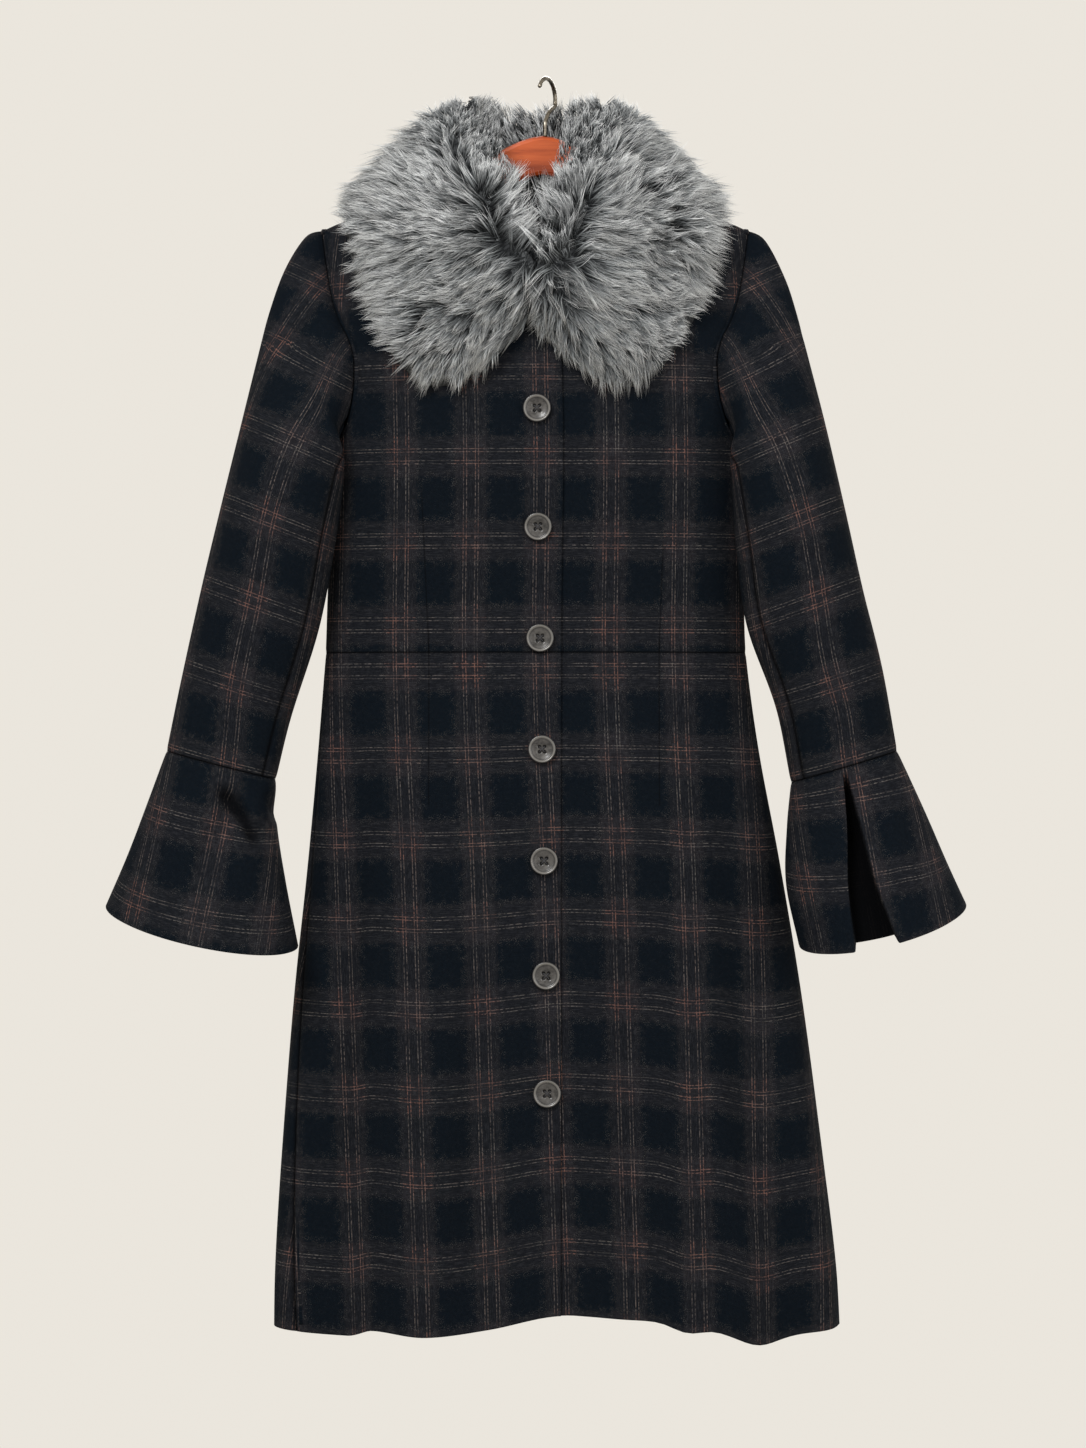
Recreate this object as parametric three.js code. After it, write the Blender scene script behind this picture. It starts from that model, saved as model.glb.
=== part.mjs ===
// A knee-length plaid wool coat with a fur collar and bell cuffs, buttoned, on a wooden hanger.
// Millimetres, +Z up. The front faces -Y, so the wearer's right is at -X.
// The origin is at the inside top of the hanger's hook.

import * as THREE from "three";

// Cloth and seams
const CLOTH = 2.0;             // wall of a coat panel
const SEAM = 0.22;             // each panel stops this far from the middle of its seam
const SEAT = 0.35;             // space under what lies on another piece
const RIDGE = 90;              // rise of the shoulder ridge, in degrees of the roof's arc

// Body: levels and the plan of its sections
const CHEST_Z = -224;          // above this level the front and back close towards the ridge
const WAIST_Z = -515;
const UNDERARM_Z = -346;
const PLAN_POWER = 2.2;        // 2 is an ellipse, more is squarer
const ROOF_POWER = 2.2;
const CENTRE_X = -10.8;        // the coat hangs this far to the side of the hook
const SHOULDER_SLOPE = 0.40;
const NECK_HALF = 74.7;        // half the distance between the neck points
const NECK_POINT_Z = -87.75;   // where the shoulder seam meets the neckline
const FRONT_NECK_RISE = 16.6;  // of the neckline's lowest point
const BACK_NECK_RISE = 48;
const FRONT_NECK_POWER = 2.4;  // how square the neckline is
const BACK_NECK_POWER = 2.6;
const OVERLAP = 23.4;          // the top front passes the centre by this much
const UNDERLAP = 18.0;         // so does the front below it
const TUCK = CLOTH + 0.8;      // how far the lower front lies in under the top one
const TUCK_PAST = 6;           // it stays that far in for this much past the top one's edge
const TUCK_RUN = 16;           // width over which it returns to the surface
const PLACKET = 45.4;          // from the centre to where a front panel's placket ends
const PLACKET_PART = 0.2;      // the part of a panel's columns that the placket takes

// The body's sides and its depths from the middle plane, by level
const SILHOUETTE = [
  { z: -120, left: -202.5, right: 181, front: 50, back: 46 },
  { z: -224, left: -202.5, right: 181, front: 52, back: 46 },
  { z: -332, left: -200, right: 182, front: 54, back: 46 },
  { z: -420, left: -197, right: 178, front: 48, back: 42 },
  { z: -485, left: -198.5, right: 178, front: 43, back: 40 },
  { z: -523, left: -200, right: 180, front: 43, back: 41 },
  { z: -603, left: -206, right: 191, front: 48, back: 47 },
  { z: -702, left: -215, right: 209.5, front: 53, back: 53 },
  { z: -824, left: -227.5, right: 229.5, front: 58, back: 58 },
  { z: -969, left: -238, right: 248.5, front: 63, back: 63 },
  { z: -1065, left: -243, right: 260, front: 66, back: 66 },
  { z: -1135, left: -244, right: 264, front: 68, back: 68 },
];

// The front hem dips to the sides and waves with the folds
const FRONT_HEM = [
  { x: -250, z: -1117 },
  { x: -179, z: -1123 },
  { x: -155, z: -1117 },
  { x: -107, z: -1121 },
  { x: -51, z: -1114 },
  { x: 10, z: -1102 },
  { x: 72, z: -1106 },
  { x: 100, z: -1109 },
  { x: 124, z: -1118 },
  { x: 149, z: -1117 },
  { x: 189, z: -1130 },
  { x: 230, z: -1121 },
  { x: 262, z: -1117 },
];
const BACK_HEM_Z = -1118;
const RIGHT_SEAM_FORWARD = 27; // degrees by which the right side seam comes forward at the hem
const SEAM_ANGLE = 0.15;
const SKIRT_ROWS = [0, 0.12, 0.26, 0.4, 0.55, 0.7, 0.85, 1];
const PLACKET_COLUMNS = [0, 0.075, 0.148];
const FRONT_SKIRT_COLUMNS = 14;
const BACK_SKIRT_COLUMNS = 28;

// Soft folds of the skirt: angle round the body, half width, how far out at the hem,
// and how far down the skirt the fold starts, from 0 at the waist to 1 at the hem
const SKIRT_FOLDS = [
  { angle: -70, half: 13, out: 7, from: 0.35 },
  { angle: -47, half: 10, out: -8, from: 0.25 },
  { angle: -29, half: 12, out: 7, from: 0.15 },
  { angle: 20, half: 11, out: -5, from: 0.30 },
  { angle: 38, half: 9, out: 8, from: 0.20 },
  { angle: 50, half: 9, out: -9, from: 0.35 },
  { angle: 64, half: 11, out: 10, from: 0.30 },
  { angle: 116, half: 13, out: 8, from: 0.30 },
  { angle: 140, half: 12, out: -7, from: 0.25 },
  { angle: 163, half: 13, out: 9, from: 0.15 },
  { angle: 190, half: 12, out: -6, from: 0.30 },
  { angle: 212, half: 13, out: 9, from: 0.20 },
  { angle: 238, half: 12, out: -7, from: 0.30 },
];

// The armhole on the front and on the back, from the underarm up to the shoulder tip:
// height and angle round the body
const FRONT_ARMHOLE = [
  { at: 0.00, rise: UNDERARM_Z - CHEST_Z, angle: 90 },
  { at: 0.09, rise: -110, angle: 71 },
  { at: 0.21, rise: -84, angle: 59 },
  { at: 0.42, rise: -34, angle: 54.5 },
  { at: 0.54, rise: -6, angle: 58.5 },
  { at: 0.63, rise: 13, angle: 67 },
  { at: 0.80, rise: 46, angle: 77 },
  { at: 1.00, rise: RIDGE, angle: 88.6 },
];
const BACK_ARMHOLE = [
  { at: 0.00, rise: UNDERARM_Z - CHEST_Z, angle: 90 },
  { at: 0.10, rise: -108, angle: 69 },
  { at: 0.22, rise: -80, angle: 60 },
  { at: 0.42, rise: -32, angle: 57 },
  { at: 0.60, rise: 6, angle: 63 },
  { at: 0.80, rise: 46, angle: 76 },
  { at: 1.00, rise: RIDGE, angle: 88.6 },
];

// Sleeves, from the armhole to the cuff: the outer and inner outline of each ring,
// its half depth and how far forward its middle lies, and how much of the armhole's
// own shape it keeps
const RIGHT_SLEEVE = [
  { at: 0.00, outX: -202.6, outZ: -135.6, inX: -200, inZ: -346, half: 46, fore: 2, keep: 1 },
  { at: 0.05, outX: -217, outZ: -142, inX: -201, inZ: -349, half: 51, fore: 4, keep: 0.95 },
  { at: 0.12, outX: -235, outZ: -171, inX: -200, inZ: -353, half: 54, fore: 8, keep: 0.85 },
  { at: 0.20, outX: -248.5, outZ: -209, inX: -196, inZ: -356, half: 55, fore: 13, keep: 0.72 },
  { at: 0.28, outX: -257.5, outZ: -245, inX: -185, inZ: -360, half: 54, fore: 19, keep: 0.55 },
  { at: 0.40, outX: -273.6, outZ: -313, inX: -182, inZ: -366, half: 50, fore: 27, keep: 0.2 },
  { at: 0.53, outX: -289, outZ: -378, inX: -189, inZ: -420, half: 46, fore: 34, keep: 0 },
  { at: 0.69, outX: -307, outZ: -454.5, inX: -203, inZ: -494, half: 42, fore: 38, keep: 0 },
  { at: 0.87, outX: -326.5, outZ: -544, inX: -228, inZ: -574, half: 36, fore: 40, keep: 0 },
  { at: 1.00, outX: -338.4, outZ: -602.6, inX: -241.2, inZ: -627.8, half: 33, fore: 41, keep: 0 },
];
const LEFT_SLEEVE = [
  { at: 0.00, outX: 181.1, outZ: -135.6, inX: 182, inZ: -346, half: 46, fore: 2, keep: 1 },
  { at: 0.05, outX: 196, outZ: -145, inX: 183, inZ: -349, half: 51, fore: 4, keep: 0.95 },
  { at: 0.12, outX: 213.5, outZ: -179, inX: 182, inZ: -353, half: 54, fore: 8, keep: 0.85 },
  { at: 0.20, outX: 224, outZ: -212, inX: 178, inZ: -356, half: 55, fore: 13, keep: 0.72 },
  { at: 0.28, outX: 233, outZ: -248, inX: 168, inZ: -360, half: 54, fore: 19, keep: 0.55 },
  { at: 0.40, outX: 249, outZ: -313, inX: 165, inZ: -366, half: 50, fore: 27, keep: 0.2 },
  { at: 0.53, outX: 266, outZ: -389, inX: 169, inZ: -428, half: 46, fore: 34, keep: 0 },
  { at: 0.69, outX: 281, outZ: -458, inX: 178, inZ: -492, half: 42, fore: 38, keep: 0 },
  { at: 0.87, outX: 298.5, outZ: -530, inX: 204, inZ: -566, half: 36, fore: 40, keep: 0 },
  { at: 1.00, outX: 311.4, outZ: -602.6, inX: 216.9, inZ: -630.5, half: 33, fore: 41, keep: 0 },
];
const FRONT_SLEEVE_SEAM = 143; // degrees round the sleeve from its outer side, over the front
const BACK_SLEEVE_SEAM = -112;
const ARMHOLE_GAP = 0.8;       // between a sleeve and the bodice at their seam
const TIP_GAP = 1.6;           // the same at the end of the shoulder
const BODY_GAP = 2.8;          // between a hanging sleeve and the body beside it
const SLEEVE_SEAM_TURN = 0.32;
const SLOPE_TURN = 5;          // a sleeve's slope is taken over this many degrees
const SLEEVE_ROWS = [0, 0.03, 0.07, 0.12, 0.19, 0.28, 0.4, 0.53, 0.69, 0.85, 1];

// Bell cuffs, from the sleeve to the hem: outline, half depth, how far forward the
// middle lies, and how much lower the hem hangs at its front
const RIGHT_CUFF = [
  { at: 0.00, outX: -338.4, outZ: -602.6, inX: -241.2, inZ: -627.8, half: 33, fore: 41, dip: 0 },
  { at: 0.30, outX: -353, outZ: -643, inX: -240, inZ: -668, half: 42, fore: 44, dip: 4 },
  { at: 0.65, outX: -372, outZ: -694, inX: -232, inZ: -719, half: 54, fore: 48, dip: 9 },
  { at: 1.00, outX: -391, outZ: -739.5, inX: -220.5, inZ: -776, half: 63, fore: 54, dip: 15 },
];
const LEFT_CUFF = [
  { at: 0.00, outX: 311.4, outZ: -602.6, inX: 216.9, inZ: -630.5, half: 33, fore: 41, dip: 0 },
  { at: 0.30, outX: 336, outZ: -657, inX: 213, inZ: -671, half: 43, fore: 45, dip: 4 },
  { at: 0.65, outX: 355, outZ: -702, inX: 212, inZ: -721, half: 56, fore: 51, dip: 9 },
  { at: 1.00, outX: 371, outZ: -738, inX: 223, inZ: -775, half: 66, fore: 58, dip: 15 },
];

// The inverted pleat of the left cuff at its hem, in degrees round the cuff,
// and the slanting dent of the right cuff
const PLEAT = { middle: 93, half: 15, deep: 22 };
const DENT = { middle: 122, slant: -52, half: 15, deep: 9 };
const CUFF_GAP = 0.3;
const CUFF_COLUMNS = 24;
const CUFF_ROWS = [0, 0.1, 0.25, 0.42, 0.6, 0.8, 1];

// Fur collar, from the middle of the back to the front end: where it is seated on the
// neckline, the roll at the neck, its edge on the coat and the height of its crown.
// A turn counts degrees over the shoulder ridge, 0 on it, positive to the front.
const RIGHT_COLLAR = [
  { at: 0.00, seatX: -10.8, seatTurn: -43, rollX: -10.8, rollY: 34, rollZ: -30, edgeX: -10.8, edgeTurn: -80, crown: 22 },
  { at: 0.15, seatX: -50, seatTurn: -38, rollX: -42, rollY: 30, rollZ: -24, edgeX: -72, edgeTurn: -82, crown: 24 },
  { at: 0.30, seatX: -76, seatTurn: -24, rollX: -66, rollY: 14, rollZ: -18, edgeX: -135, edgeTurn: -66, crown: 24 },
  { at: 0.42, seatX: -86, seatTurn: 0, rollX: -70, rollY: -2, rollZ: -19, edgeX: -175, edgeTurn: -12, crown: 22 },
  { at: 0.52, seatX: -86, seatTurn: 18, rollX: -58, rollY: -18, rollZ: -32, edgeX: -179, edgeTurn: 32, crown: 24 },
  { at: 0.62, seatX: -81, seatTurn: 36, rollX: -42, rollY: -38, rollZ: -60, edgeX: -168, edgeTurn: 70, crown: 26 },
  { at: 0.72, seatX: -68, seatTurn: 53, rollX: -29, rollY: -54, rollZ: -94, edgeX: -145, edgeTurn: 98, crown: 28 },
  { at: 0.82, seatX: -48, seatTurn: 67, rollX: -21, rollY: -64, rollZ: -126, edgeX: -107, edgeTurn: 117, crown: 30 },
  { at: 0.91, seatX: -29, seatTurn: 74, rollX: -16, rollY: -70, rollZ: -150, edgeX: -62, edgeTurn: 112, crown: 28 },
  { at: 1.00, seatX: -14, seatTurn: 76, rollX: -12.5, rollY: -74, rollZ: -165, edgeX: -18, edgeTurn: 90, crown: 18 },
];
const LEFT_COLLAR = [
  { at: 0.00, seatX: -10.8, seatTurn: -43, rollX: -10.8, rollY: 34, rollZ: -30, edgeX: -10.8, edgeTurn: -80, crown: 22 },
  { at: 0.15, seatX: 28, seatTurn: -38, rollX: 18, rollY: 30, rollZ: -24, edgeX: 50, edgeTurn: -82, crown: 24 },
  { at: 0.30, seatX: 54, seatTurn: -24, rollX: 41, rollY: 14, rollZ: -18, edgeX: 112, edgeTurn: -66, crown: 24 },
  { at: 0.42, seatX: 64.4, seatTurn: 0, rollX: 47, rollY: -2, rollZ: -19, edgeX: 151, edgeTurn: -12, crown: 22 },
  { at: 0.52, seatX: 64.4, seatTurn: 18, rollX: 36, rollY: -18, rollZ: -30, edgeX: 154, edgeTurn: 30, crown: 24 },
  { at: 0.62, seatX: 59, seatTurn: 36, rollX: 18, rollY: -38, rollZ: -56, edgeX: 146, edgeTurn: 66, crown: 26 },
  { at: 0.72, seatX: 46, seatTurn: 53, rollX: 7, rollY: -54, rollZ: -88, edgeX: 124, edgeTurn: 93, crown: 28 },
  { at: 0.82, seatX: 26, seatTurn: 67, rollX: 0, rollY: -64, rollZ: -122, edgeX: 84, edgeTurn: 117, crown: 30 },
  { at: 0.91, seatX: 7, seatTurn: 74, rollX: -4.5, rollY: -70, rollZ: -147, edgeX: 40, edgeTurn: 112, crown: 28 },
  { at: 1.00, seatX: -8, seatTurn: 76, rollX: -8.5, rollY: -74, rollZ: -162, edgeX: -4, edgeTurn: 90, crown: 18 },
];
const COLLAR_LIFT = 1.1;       // space under the collar, which spans the coat in flat facets
const RIDGE_LIFT = 1.8;        // more of it over the round ridge
const COLLAR_HEART = new THREE.Vector3(CENTRE_X, 0, -230);
const COLLAR_STEPS = 22;       // sections on each side
const DOME_STEPS = 8;
const UNDER_STEPS = 5;

// Buttons: where their middles lie, from the top
const BUTTONS = [
  { x: -9.0, z: -299 },
  { x: -8.1, z: -403.5 },
  { x: -6.3, z: -502.5 },
  { x: -4.5, z: -601.5 },
  { x: -2.7, z: -700.5 },
  { x: -0.9, z: -802 },
  { x: 0.0, z: -906 },
];
const BUTTON_R = 12.5;
const BUTTON_SEAT = 0.8;       // space under a flat button on the round front
const BUTTON_RIM = 4.2;        // height of the rim over the back
const BUTTON_DISH = 2.8;       // height of the dished middle

// Hanger
const HANGER_X = -3.6;
const HANGER_TOP_Z = -50;      // top of the yoke
const HANGER_NECK = 64;        // the arms start this far from the middle
const HANGER_ARM = 164;        // half the length of the arms
const HANGER_SEAT = 2.8;       // space between the arms and the coat's round ridge
const HANGER_DEEP = 36;        // height of the wood at the middle
const HANGER_TIP = 15;         // and at the ends
const HANGER_THICK = 14;
const HANGER_BEVEL = 4;

// Hook: a wire bent in a plane that is turned about the upright
const WIRE_R = 2;
const HOOK_R = 16;             // inside radius
const HOOK_TURN = 65;
const STEM_OFFSET = -4;        // the stem enters the yoke this far along the hook's plane
const HOOK_START = -15;        // the bend runs between these angles
const HOOK_END = 155;

const wool = new THREE.MeshStandardMaterial({ color: 0x5d5654, roughness: 0.95, metalness: 0 });
const fur = new THREE.MeshStandardMaterial({ color: 0x8f8c8a, roughness: 0.9, metalness: 0 });
const horn = new THREE.MeshStandardMaterial({ color: 0x7a7673, roughness: 0.35, metalness: 0 });
const wood = new THREE.MeshStandardMaterial({ color: 0xa8663a, roughness: 0.45, metalness: 0 });
const steel = new THREE.MeshStandardMaterial({ color: 0xa9abad, roughness: 0.3, metalness: 1 });

// Small mathematics

const rad = THREE.MathUtils.degToRad;
const mix = THREE.MathUtils.lerp;
const clamp = THREE.MathUtils.clamp;
const smooth = (value) => THREE.MathUtils.smoothstep(value, 0, 1);
const at3 = (x, y, z) => new THREE.Vector3(x, y, z);

// A column of a table at a place between its rows, on a smooth curve through them
function column(table, key, place, name) {
  const last = table.length - 1;
  const rising = table[last][key] > table[0][key];
  let row = 0;
  while (row < last - 1 && (rising ? table[row + 1][key] <= place : table[row + 1][key] >= place)) {
    row += 1;
  }
  const here = table[row];
  const next = table[row + 1];
  const before = table[Math.max(row - 1, 0)];
  const after = table[Math.min(row + 2, last)];
  const step = next[key] - here[key];
  const t = clamp((place - here[key]) / step, 0, 1);
  const slopeHere = (next[name] - before[name]) / (next[key] - before[key]) * step;
  const slopeNext = (after[name] - here[name]) / (after[key] - here[key]) * step;
  const rise = next[name] - here[name];
  const bend = slopeHere + slopeNext - 2 * rise;
  return here[name] + t * (slopeHere + t * (3 * rise - 2 * slopeHere - slopeNext + t * bend));
}

// Steps from one value to another
function steps(from, to, count) {
  return Array.from({ length: count + 1 }, (_, index) => mix(from, to, index / count));
}

// Body surface

// Half width, middle and depths of the body's plan at a height
function planAt(z) {
  const left = column(SILHOUETTE, "z", z, "left");
  const right = column(SILHOUETTE, "z", z, "right");
  return {
    middle: (left + right) / 2,
    half: (right - left) / 2,
    front: column(SILHOUETTE, "z", z, "front"),
    back: column(SILHOUETTE, "z", z, "back"),
  };
}

// Radius of a unit superellipse at an angle
function round(angle, power) {
  return (Math.abs(Math.cos(angle)) ** power + Math.abs(Math.sin(angle)) ** power) ** (-1 / power);
}

// Angle round the body of a point that lies a part of the half width from the middle
function angleOf(part) {
  const q = Math.min(Math.abs(part), 0.9999) ** PLAN_POWER;
  return Math.sign(part) * THREE.MathUtils.radToDeg(Math.atan((q / (1 - q)) ** (1 / PLAN_POWER)));
}

// Height of the shoulder ridge over a place across the coat
function ridgeZ(x) {
  return NECK_POINT_Z + SHOULDER_SLOPE * (NECK_HALF - Math.abs(x - CENTRE_X));
}

// A point of the bodice. The angle is 0 at the centre front, 90 at the wearer's left side
// and 180 at the centre back. The rise is in millimetres below the chest level, where it is
// negative, and in degrees of the roof's arc above it, up to 90 at the shoulder ridge.
function bodicePoint(angle, rise) {
  const turn = rad(angle);
  const radius = round(turn, PLAN_POWER);
  const arc = rad(Math.max(rise, 0));
  const roof = round(arc, ROOF_POWER);
  const level = planAt(CHEST_Z + Math.min(rise, 0));
  const x = level.middle + level.half * radius * Math.sin(turn);
  const z = rise <= 0 ? CHEST_Z + rise : CHEST_Z + (ridgeZ(x) - CHEST_Z) * roof * Math.sin(arc);
  const plan = planAt(z);
  const depth = Math.cos(turn) > 0 ? plan.front : plan.back;
  return at3(x, -depth * radius * Math.cos(turn) * roof * Math.cos(arc), z);
}

// The same surface from a place across the coat and a turn over the ridge
function overRidge(x, turn) {
  const rise = Math.abs(turn) < RIDGE ? RIDGE - Math.abs(turn) : (RIDGE - Math.abs(turn)) * 2;
  const level = planAt(CHEST_Z + Math.min(rise, 0));
  const angle = angleOf((x - level.middle) / level.half);
  return bodicePoint(turn < 0 ? 180 - angle : angle, rise);
}

// Rise of the neckline's edge, and of the ridge beyond it, over a place across the coat
function topRise(x, lowest, power) {
  const part = Math.min(Math.abs(x - CENTRE_X) / NECK_HALF, 1);
  return RIDGE - (RIDGE - lowest) * (1 - part ** power) ** (1 / power);
}

// Height of the hem at a point of the body
function hemZ(angle, x) {
  const front = column(FRONT_HEM, "x", clamp(x, -250, 262), "z");
  return mix(front, BACK_HEM_Z, smooth((Math.abs(angle) - 70) / 35));
}

// A point of the skirt, from 0 at the waist to 1 at the hem
function skirtPoint(angle, drop) {
  const turn = rad(angle);
  const radius = round(turn, PLAN_POWER);
  const wide = planAt(mix(WAIST_Z, BACK_HEM_Z, drop));
  const hem = hemZ(angle > 180 ? angle - 360 : angle, wide.middle + wide.half * radius * Math.sin(turn));
  const z = mix(WAIST_Z, hem, drop);
  const plan = planAt(z);
  const depth = Math.cos(turn) > 0 ? plan.front : plan.back;
  const out = foldOut(angle, drop);
  const normal = at3(Math.sin(turn) / plan.half, -Math.cos(turn) / depth, 0).normalize();
  const point = at3(plan.middle + plan.half * radius * Math.sin(turn), -depth * radius * Math.cos(turn), z);
  return point.addScaledVector(normal, out);
}

// How far the folds stand out at a point of the skirt
function foldOut(angle, drop) {
  let out = 0;
  for (const fold of SKIRT_FOLDS) {
    for (const turn of [angle, angle + 360, angle - 360]) {
      const side = (turn - fold.angle) / fold.half;
      out += fold.out * Math.exp(-side * side) * smooth((drop - fold.from) / (1 - fold.from));
    }
  }
  return out;
}

// Walls

// A closed wall over a grid of places (a, b): outer(a, b) gives its outer points and
// normal(a, b) the direction away from its inside
function wall(name, material, as, bs, outer, normal, closed = false) {
  const positions = [];
  const indices = [];
  const rows = as.length;
  const columns = bs.length;
  for (const depth of [0, CLOTH]) {
    for (let i = 0; i < rows; i += 1) {
      for (let j = 0; j < columns; j += 1) {
        const point = outer(as[i], bs[j]);
        point.addScaledVector(normal(as[i], bs[j]), -depth);
        positions.push(point.x, point.y, point.z);
      }
    }
  }
  const outside = (i, j) => i * columns + (closed ? j % columns : j);
  const inside = (i, j) => rows * columns + outside(i, j);
  const quad = (a, b, c, d) => indices.push(a, b, c, a, c, d);
  const across = closed ? columns : columns - 1;
  for (let i = 0; i < rows - 1; i += 1) {
    for (let j = 0; j < across; j += 1) {
      quad(outside(i, j), outside(i, j + 1), outside(i + 1, j + 1), outside(i + 1, j));
      quad(inside(i, j), inside(i + 1, j), inside(i + 1, j + 1), inside(i, j + 1));
    }
  }
  for (let j = 0; j < across; j += 1) {
    quad(outside(0, j + 1), outside(0, j), inside(0, j), inside(0, j + 1));
    quad(outside(rows - 1, j), outside(rows - 1, j + 1), inside(rows - 1, j + 1), inside(rows - 1, j));
  }
  if (!closed) {
    for (let i = 0; i < rows - 1; i += 1) {
      quad(outside(i, 0), outside(i + 1, 0), inside(i + 1, 0), inside(i, 0));
      quad(outside(i + 1, across), outside(i, across), inside(i, across), inside(i + 1, across));
    }
  }
  return solid(name, material, positions, indices);
}

// A mesh whose faces are turned to point outwards
function solid(name, material, positions, indices) {
  const corner = (index) => at3(positions[3 * index], positions[3 * index + 1], positions[3 * index + 2]);
  let volume = 0;
  for (let k = 0; k < indices.length; k += 3) {
    volume += corner(indices[k]).dot(corner(indices[k + 1]).cross(corner(indices[k + 2])));
  }
  if (volume < 0) {
    indices.reverse();
  }
  const geometry = new THREE.BufferGeometry();
  geometry.setAttribute("position", new THREE.Float32BufferAttribute(positions, 3));
  geometry.setIndex(indices);
  geometry.computeVertexNormals();
  const mesh = new THREE.Mesh(geometry, material);
  mesh.name = name;
  return mesh;
}

// The direction away from an inner point, square to a surface outer(a, b)
function squareTo(outer, inner, first = 0) {
  const small = 1e-4;
  return (a, b) => {
    const along = outer(Math.min(a + small, 1), b).sub(outer(Math.max(a - small, 0), b));
    const across = outer(a, Math.min(b + small, 1)).sub(outer(a, Math.max(b - small, first)));
    const direction = along.cross(across).normalize();
    const point = outer(a, b);
    return direction.dot(point.sub(inner(point))) < 0 ? direction.negate() : direction;
  };
}

const bodyAxis = (point) => at3(planAt(point.z).middle, 0, point.z);

// Bodice

// Places up the armhole, from the underarm to the shoulder tip, with a row at each sleeve seam
const FRONT_SEAM_PLACE = 1 - FRONT_SLEEVE_SEAM / 180;
const BACK_SEAM_PLACE = 1 + BACK_SLEEVE_SEAM / 180;
const ARMHOLE_PLACES = [
  0, 0.07, 0.14, FRONT_SEAM_PLACE, 0.29, BACK_SEAM_PLACE, 0.47, 0.57, 0.67, 0.77, 0.87, 0.94, 1,
];
const SIDE_ROWS = 5;           // rows from the waist to the underarm
const SIDE_PART = 0.4;         // they take this part of the panel's height

// Row places of a bodice panel
const BODICE_ROWS = [
  ...steps(0, SIDE_PART, SIDE_ROWS).slice(0, -1),
  ...ARMHOLE_PLACES.map((place) => mix(SIDE_PART, 1, place)),
];

// Angle and rise of the armhole, on the wearer's left, at a place from 0 to 1
function armhole(table, place) {
  return { angle: column(table, "at", place, "angle"), rise: column(table, "at", place, "rise") };
}

// A point of a bodice panel between its inner edge and its side seam or armhole.
// reach turns 0..1 across the panel into a part of the way from the inner edge to the side.
function bodiceGrid(panel) {
  return (up, across) => {
    const place = clamp((up - SIDE_PART) / (1 - SIDE_PART), 0, 1);
    const hole = armhole(panel.armhole, place);
    const low = mix(WAIST_Z, UNDERARM_Z, clamp(up / SIDE_PART, 0, 1)) - CHEST_Z;
    const edge = up < SIDE_PART ? { angle: 90, rise: low } : hole;
    const angle = angleAcross(panel, edge.angle, across);
    const topX = bodicePoint(angleAcross(panel, 90, across), 0).x;
    const base = mix(low, topRise(topX, panel.neckRise, panel.neckPower), place);
    const rise = mix(base, edge.rise, across ** 3);
    return { angle: angle, rise: rise };
  };
}

// Angle round the body at a part of the way across a panel: its placket keeps its width
function angleAcross(panel, last, across) {
  if (across < PLACKET_PART) {
    return mix(panel.inner, panel.turn, across / PLACKET_PART);
  }
  return mix(panel.turn, last, (across - PLACKET_PART) / (1 - PLACKET_PART));
}

// Columns of a panel, closer together where the neckline turns up to the shoulder
function panelColumns(turn) {
  const neckAngle = angleOf(NECK_HALF / planAt(CHEST_Z).half);
  const corner = mix(PLACKET_PART, 1, (neckAngle - turn) / (90 - turn));
  const neck = [PLACKET_PART, mix(PLACKET_PART, corner, 0.6), mix(PLACKET_PART, corner, 0.9)];
  return [...PLACKET_COLUMNS, ...neck, ...steps(corner, 1, 7)];
}

// A bodice panel over the wearer's side +1 or -1, with its gaps to its neighbours
function bodicePanel(name, panel) {
  const grid = bodiceGrid(panel);
  const outer = (up, across) => {
    const { angle, rise } = grid(up, across);
    const point = bodicePoint(panel.side * (panel.isBack ? 180 - angle : angle), rise);
    return shape(point, panel);
  };
  return wall(name, wool, BODICE_ROWS, panel.columns, outer, squareTo(outer, bodyAxis));
}

// Seam gaps of a panel's point, and the tuck of the lower front under the top one
function shape(point, panel) {
  const past = (point.x - CENTRE_X - OVERLAP - TUCK_PAST) / TUCK_RUN;
  const tucked = panel.tucks ? 1 - smooth(past) : 0;
  point.y += (panel.isBack ? SEAM : -SEAM) + TUCK * tucked;
  return point;
}

// The back bodice is one panel over both sides: across runs from -1 to 1
function backBodice() {
  const turn = angleOf(PLACKET / planAt(CHEST_Z).half);
  const panel = {
    inner: 0,
    turn: turn,
    armhole: BACK_ARMHOLE,
    neckRise: BACK_NECK_RISE,
    neckPower: BACK_NECK_POWER,
    isBack: true,
  };
  const grid = bodiceGrid(panel);
  const outer = (up, across) => {
    const { angle, rise } = grid(up, Math.abs(across));
    return shape(bodicePoint(180 - Math.sign(across) * angle, rise), panel);
  };
  const half = panelColumns(turn).filter((value) => value !== PLACKET_COLUMNS[2]);
  const columns = [...half.slice(1).reverse().map((value) => -value), ...half];
  return wall("back_bodice", wool, BODICE_ROWS, columns, outer, squareTo(outer, bodyAxis, -1));
}

// Skirt

// Angle of the side seam, which runs forward down the wearer's right
function sideAngle(side, drop) {
  return side < 0 ? 90 - RIGHT_SEAM_FORWARD * drop ** 0.6 : 90;
}

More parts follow.
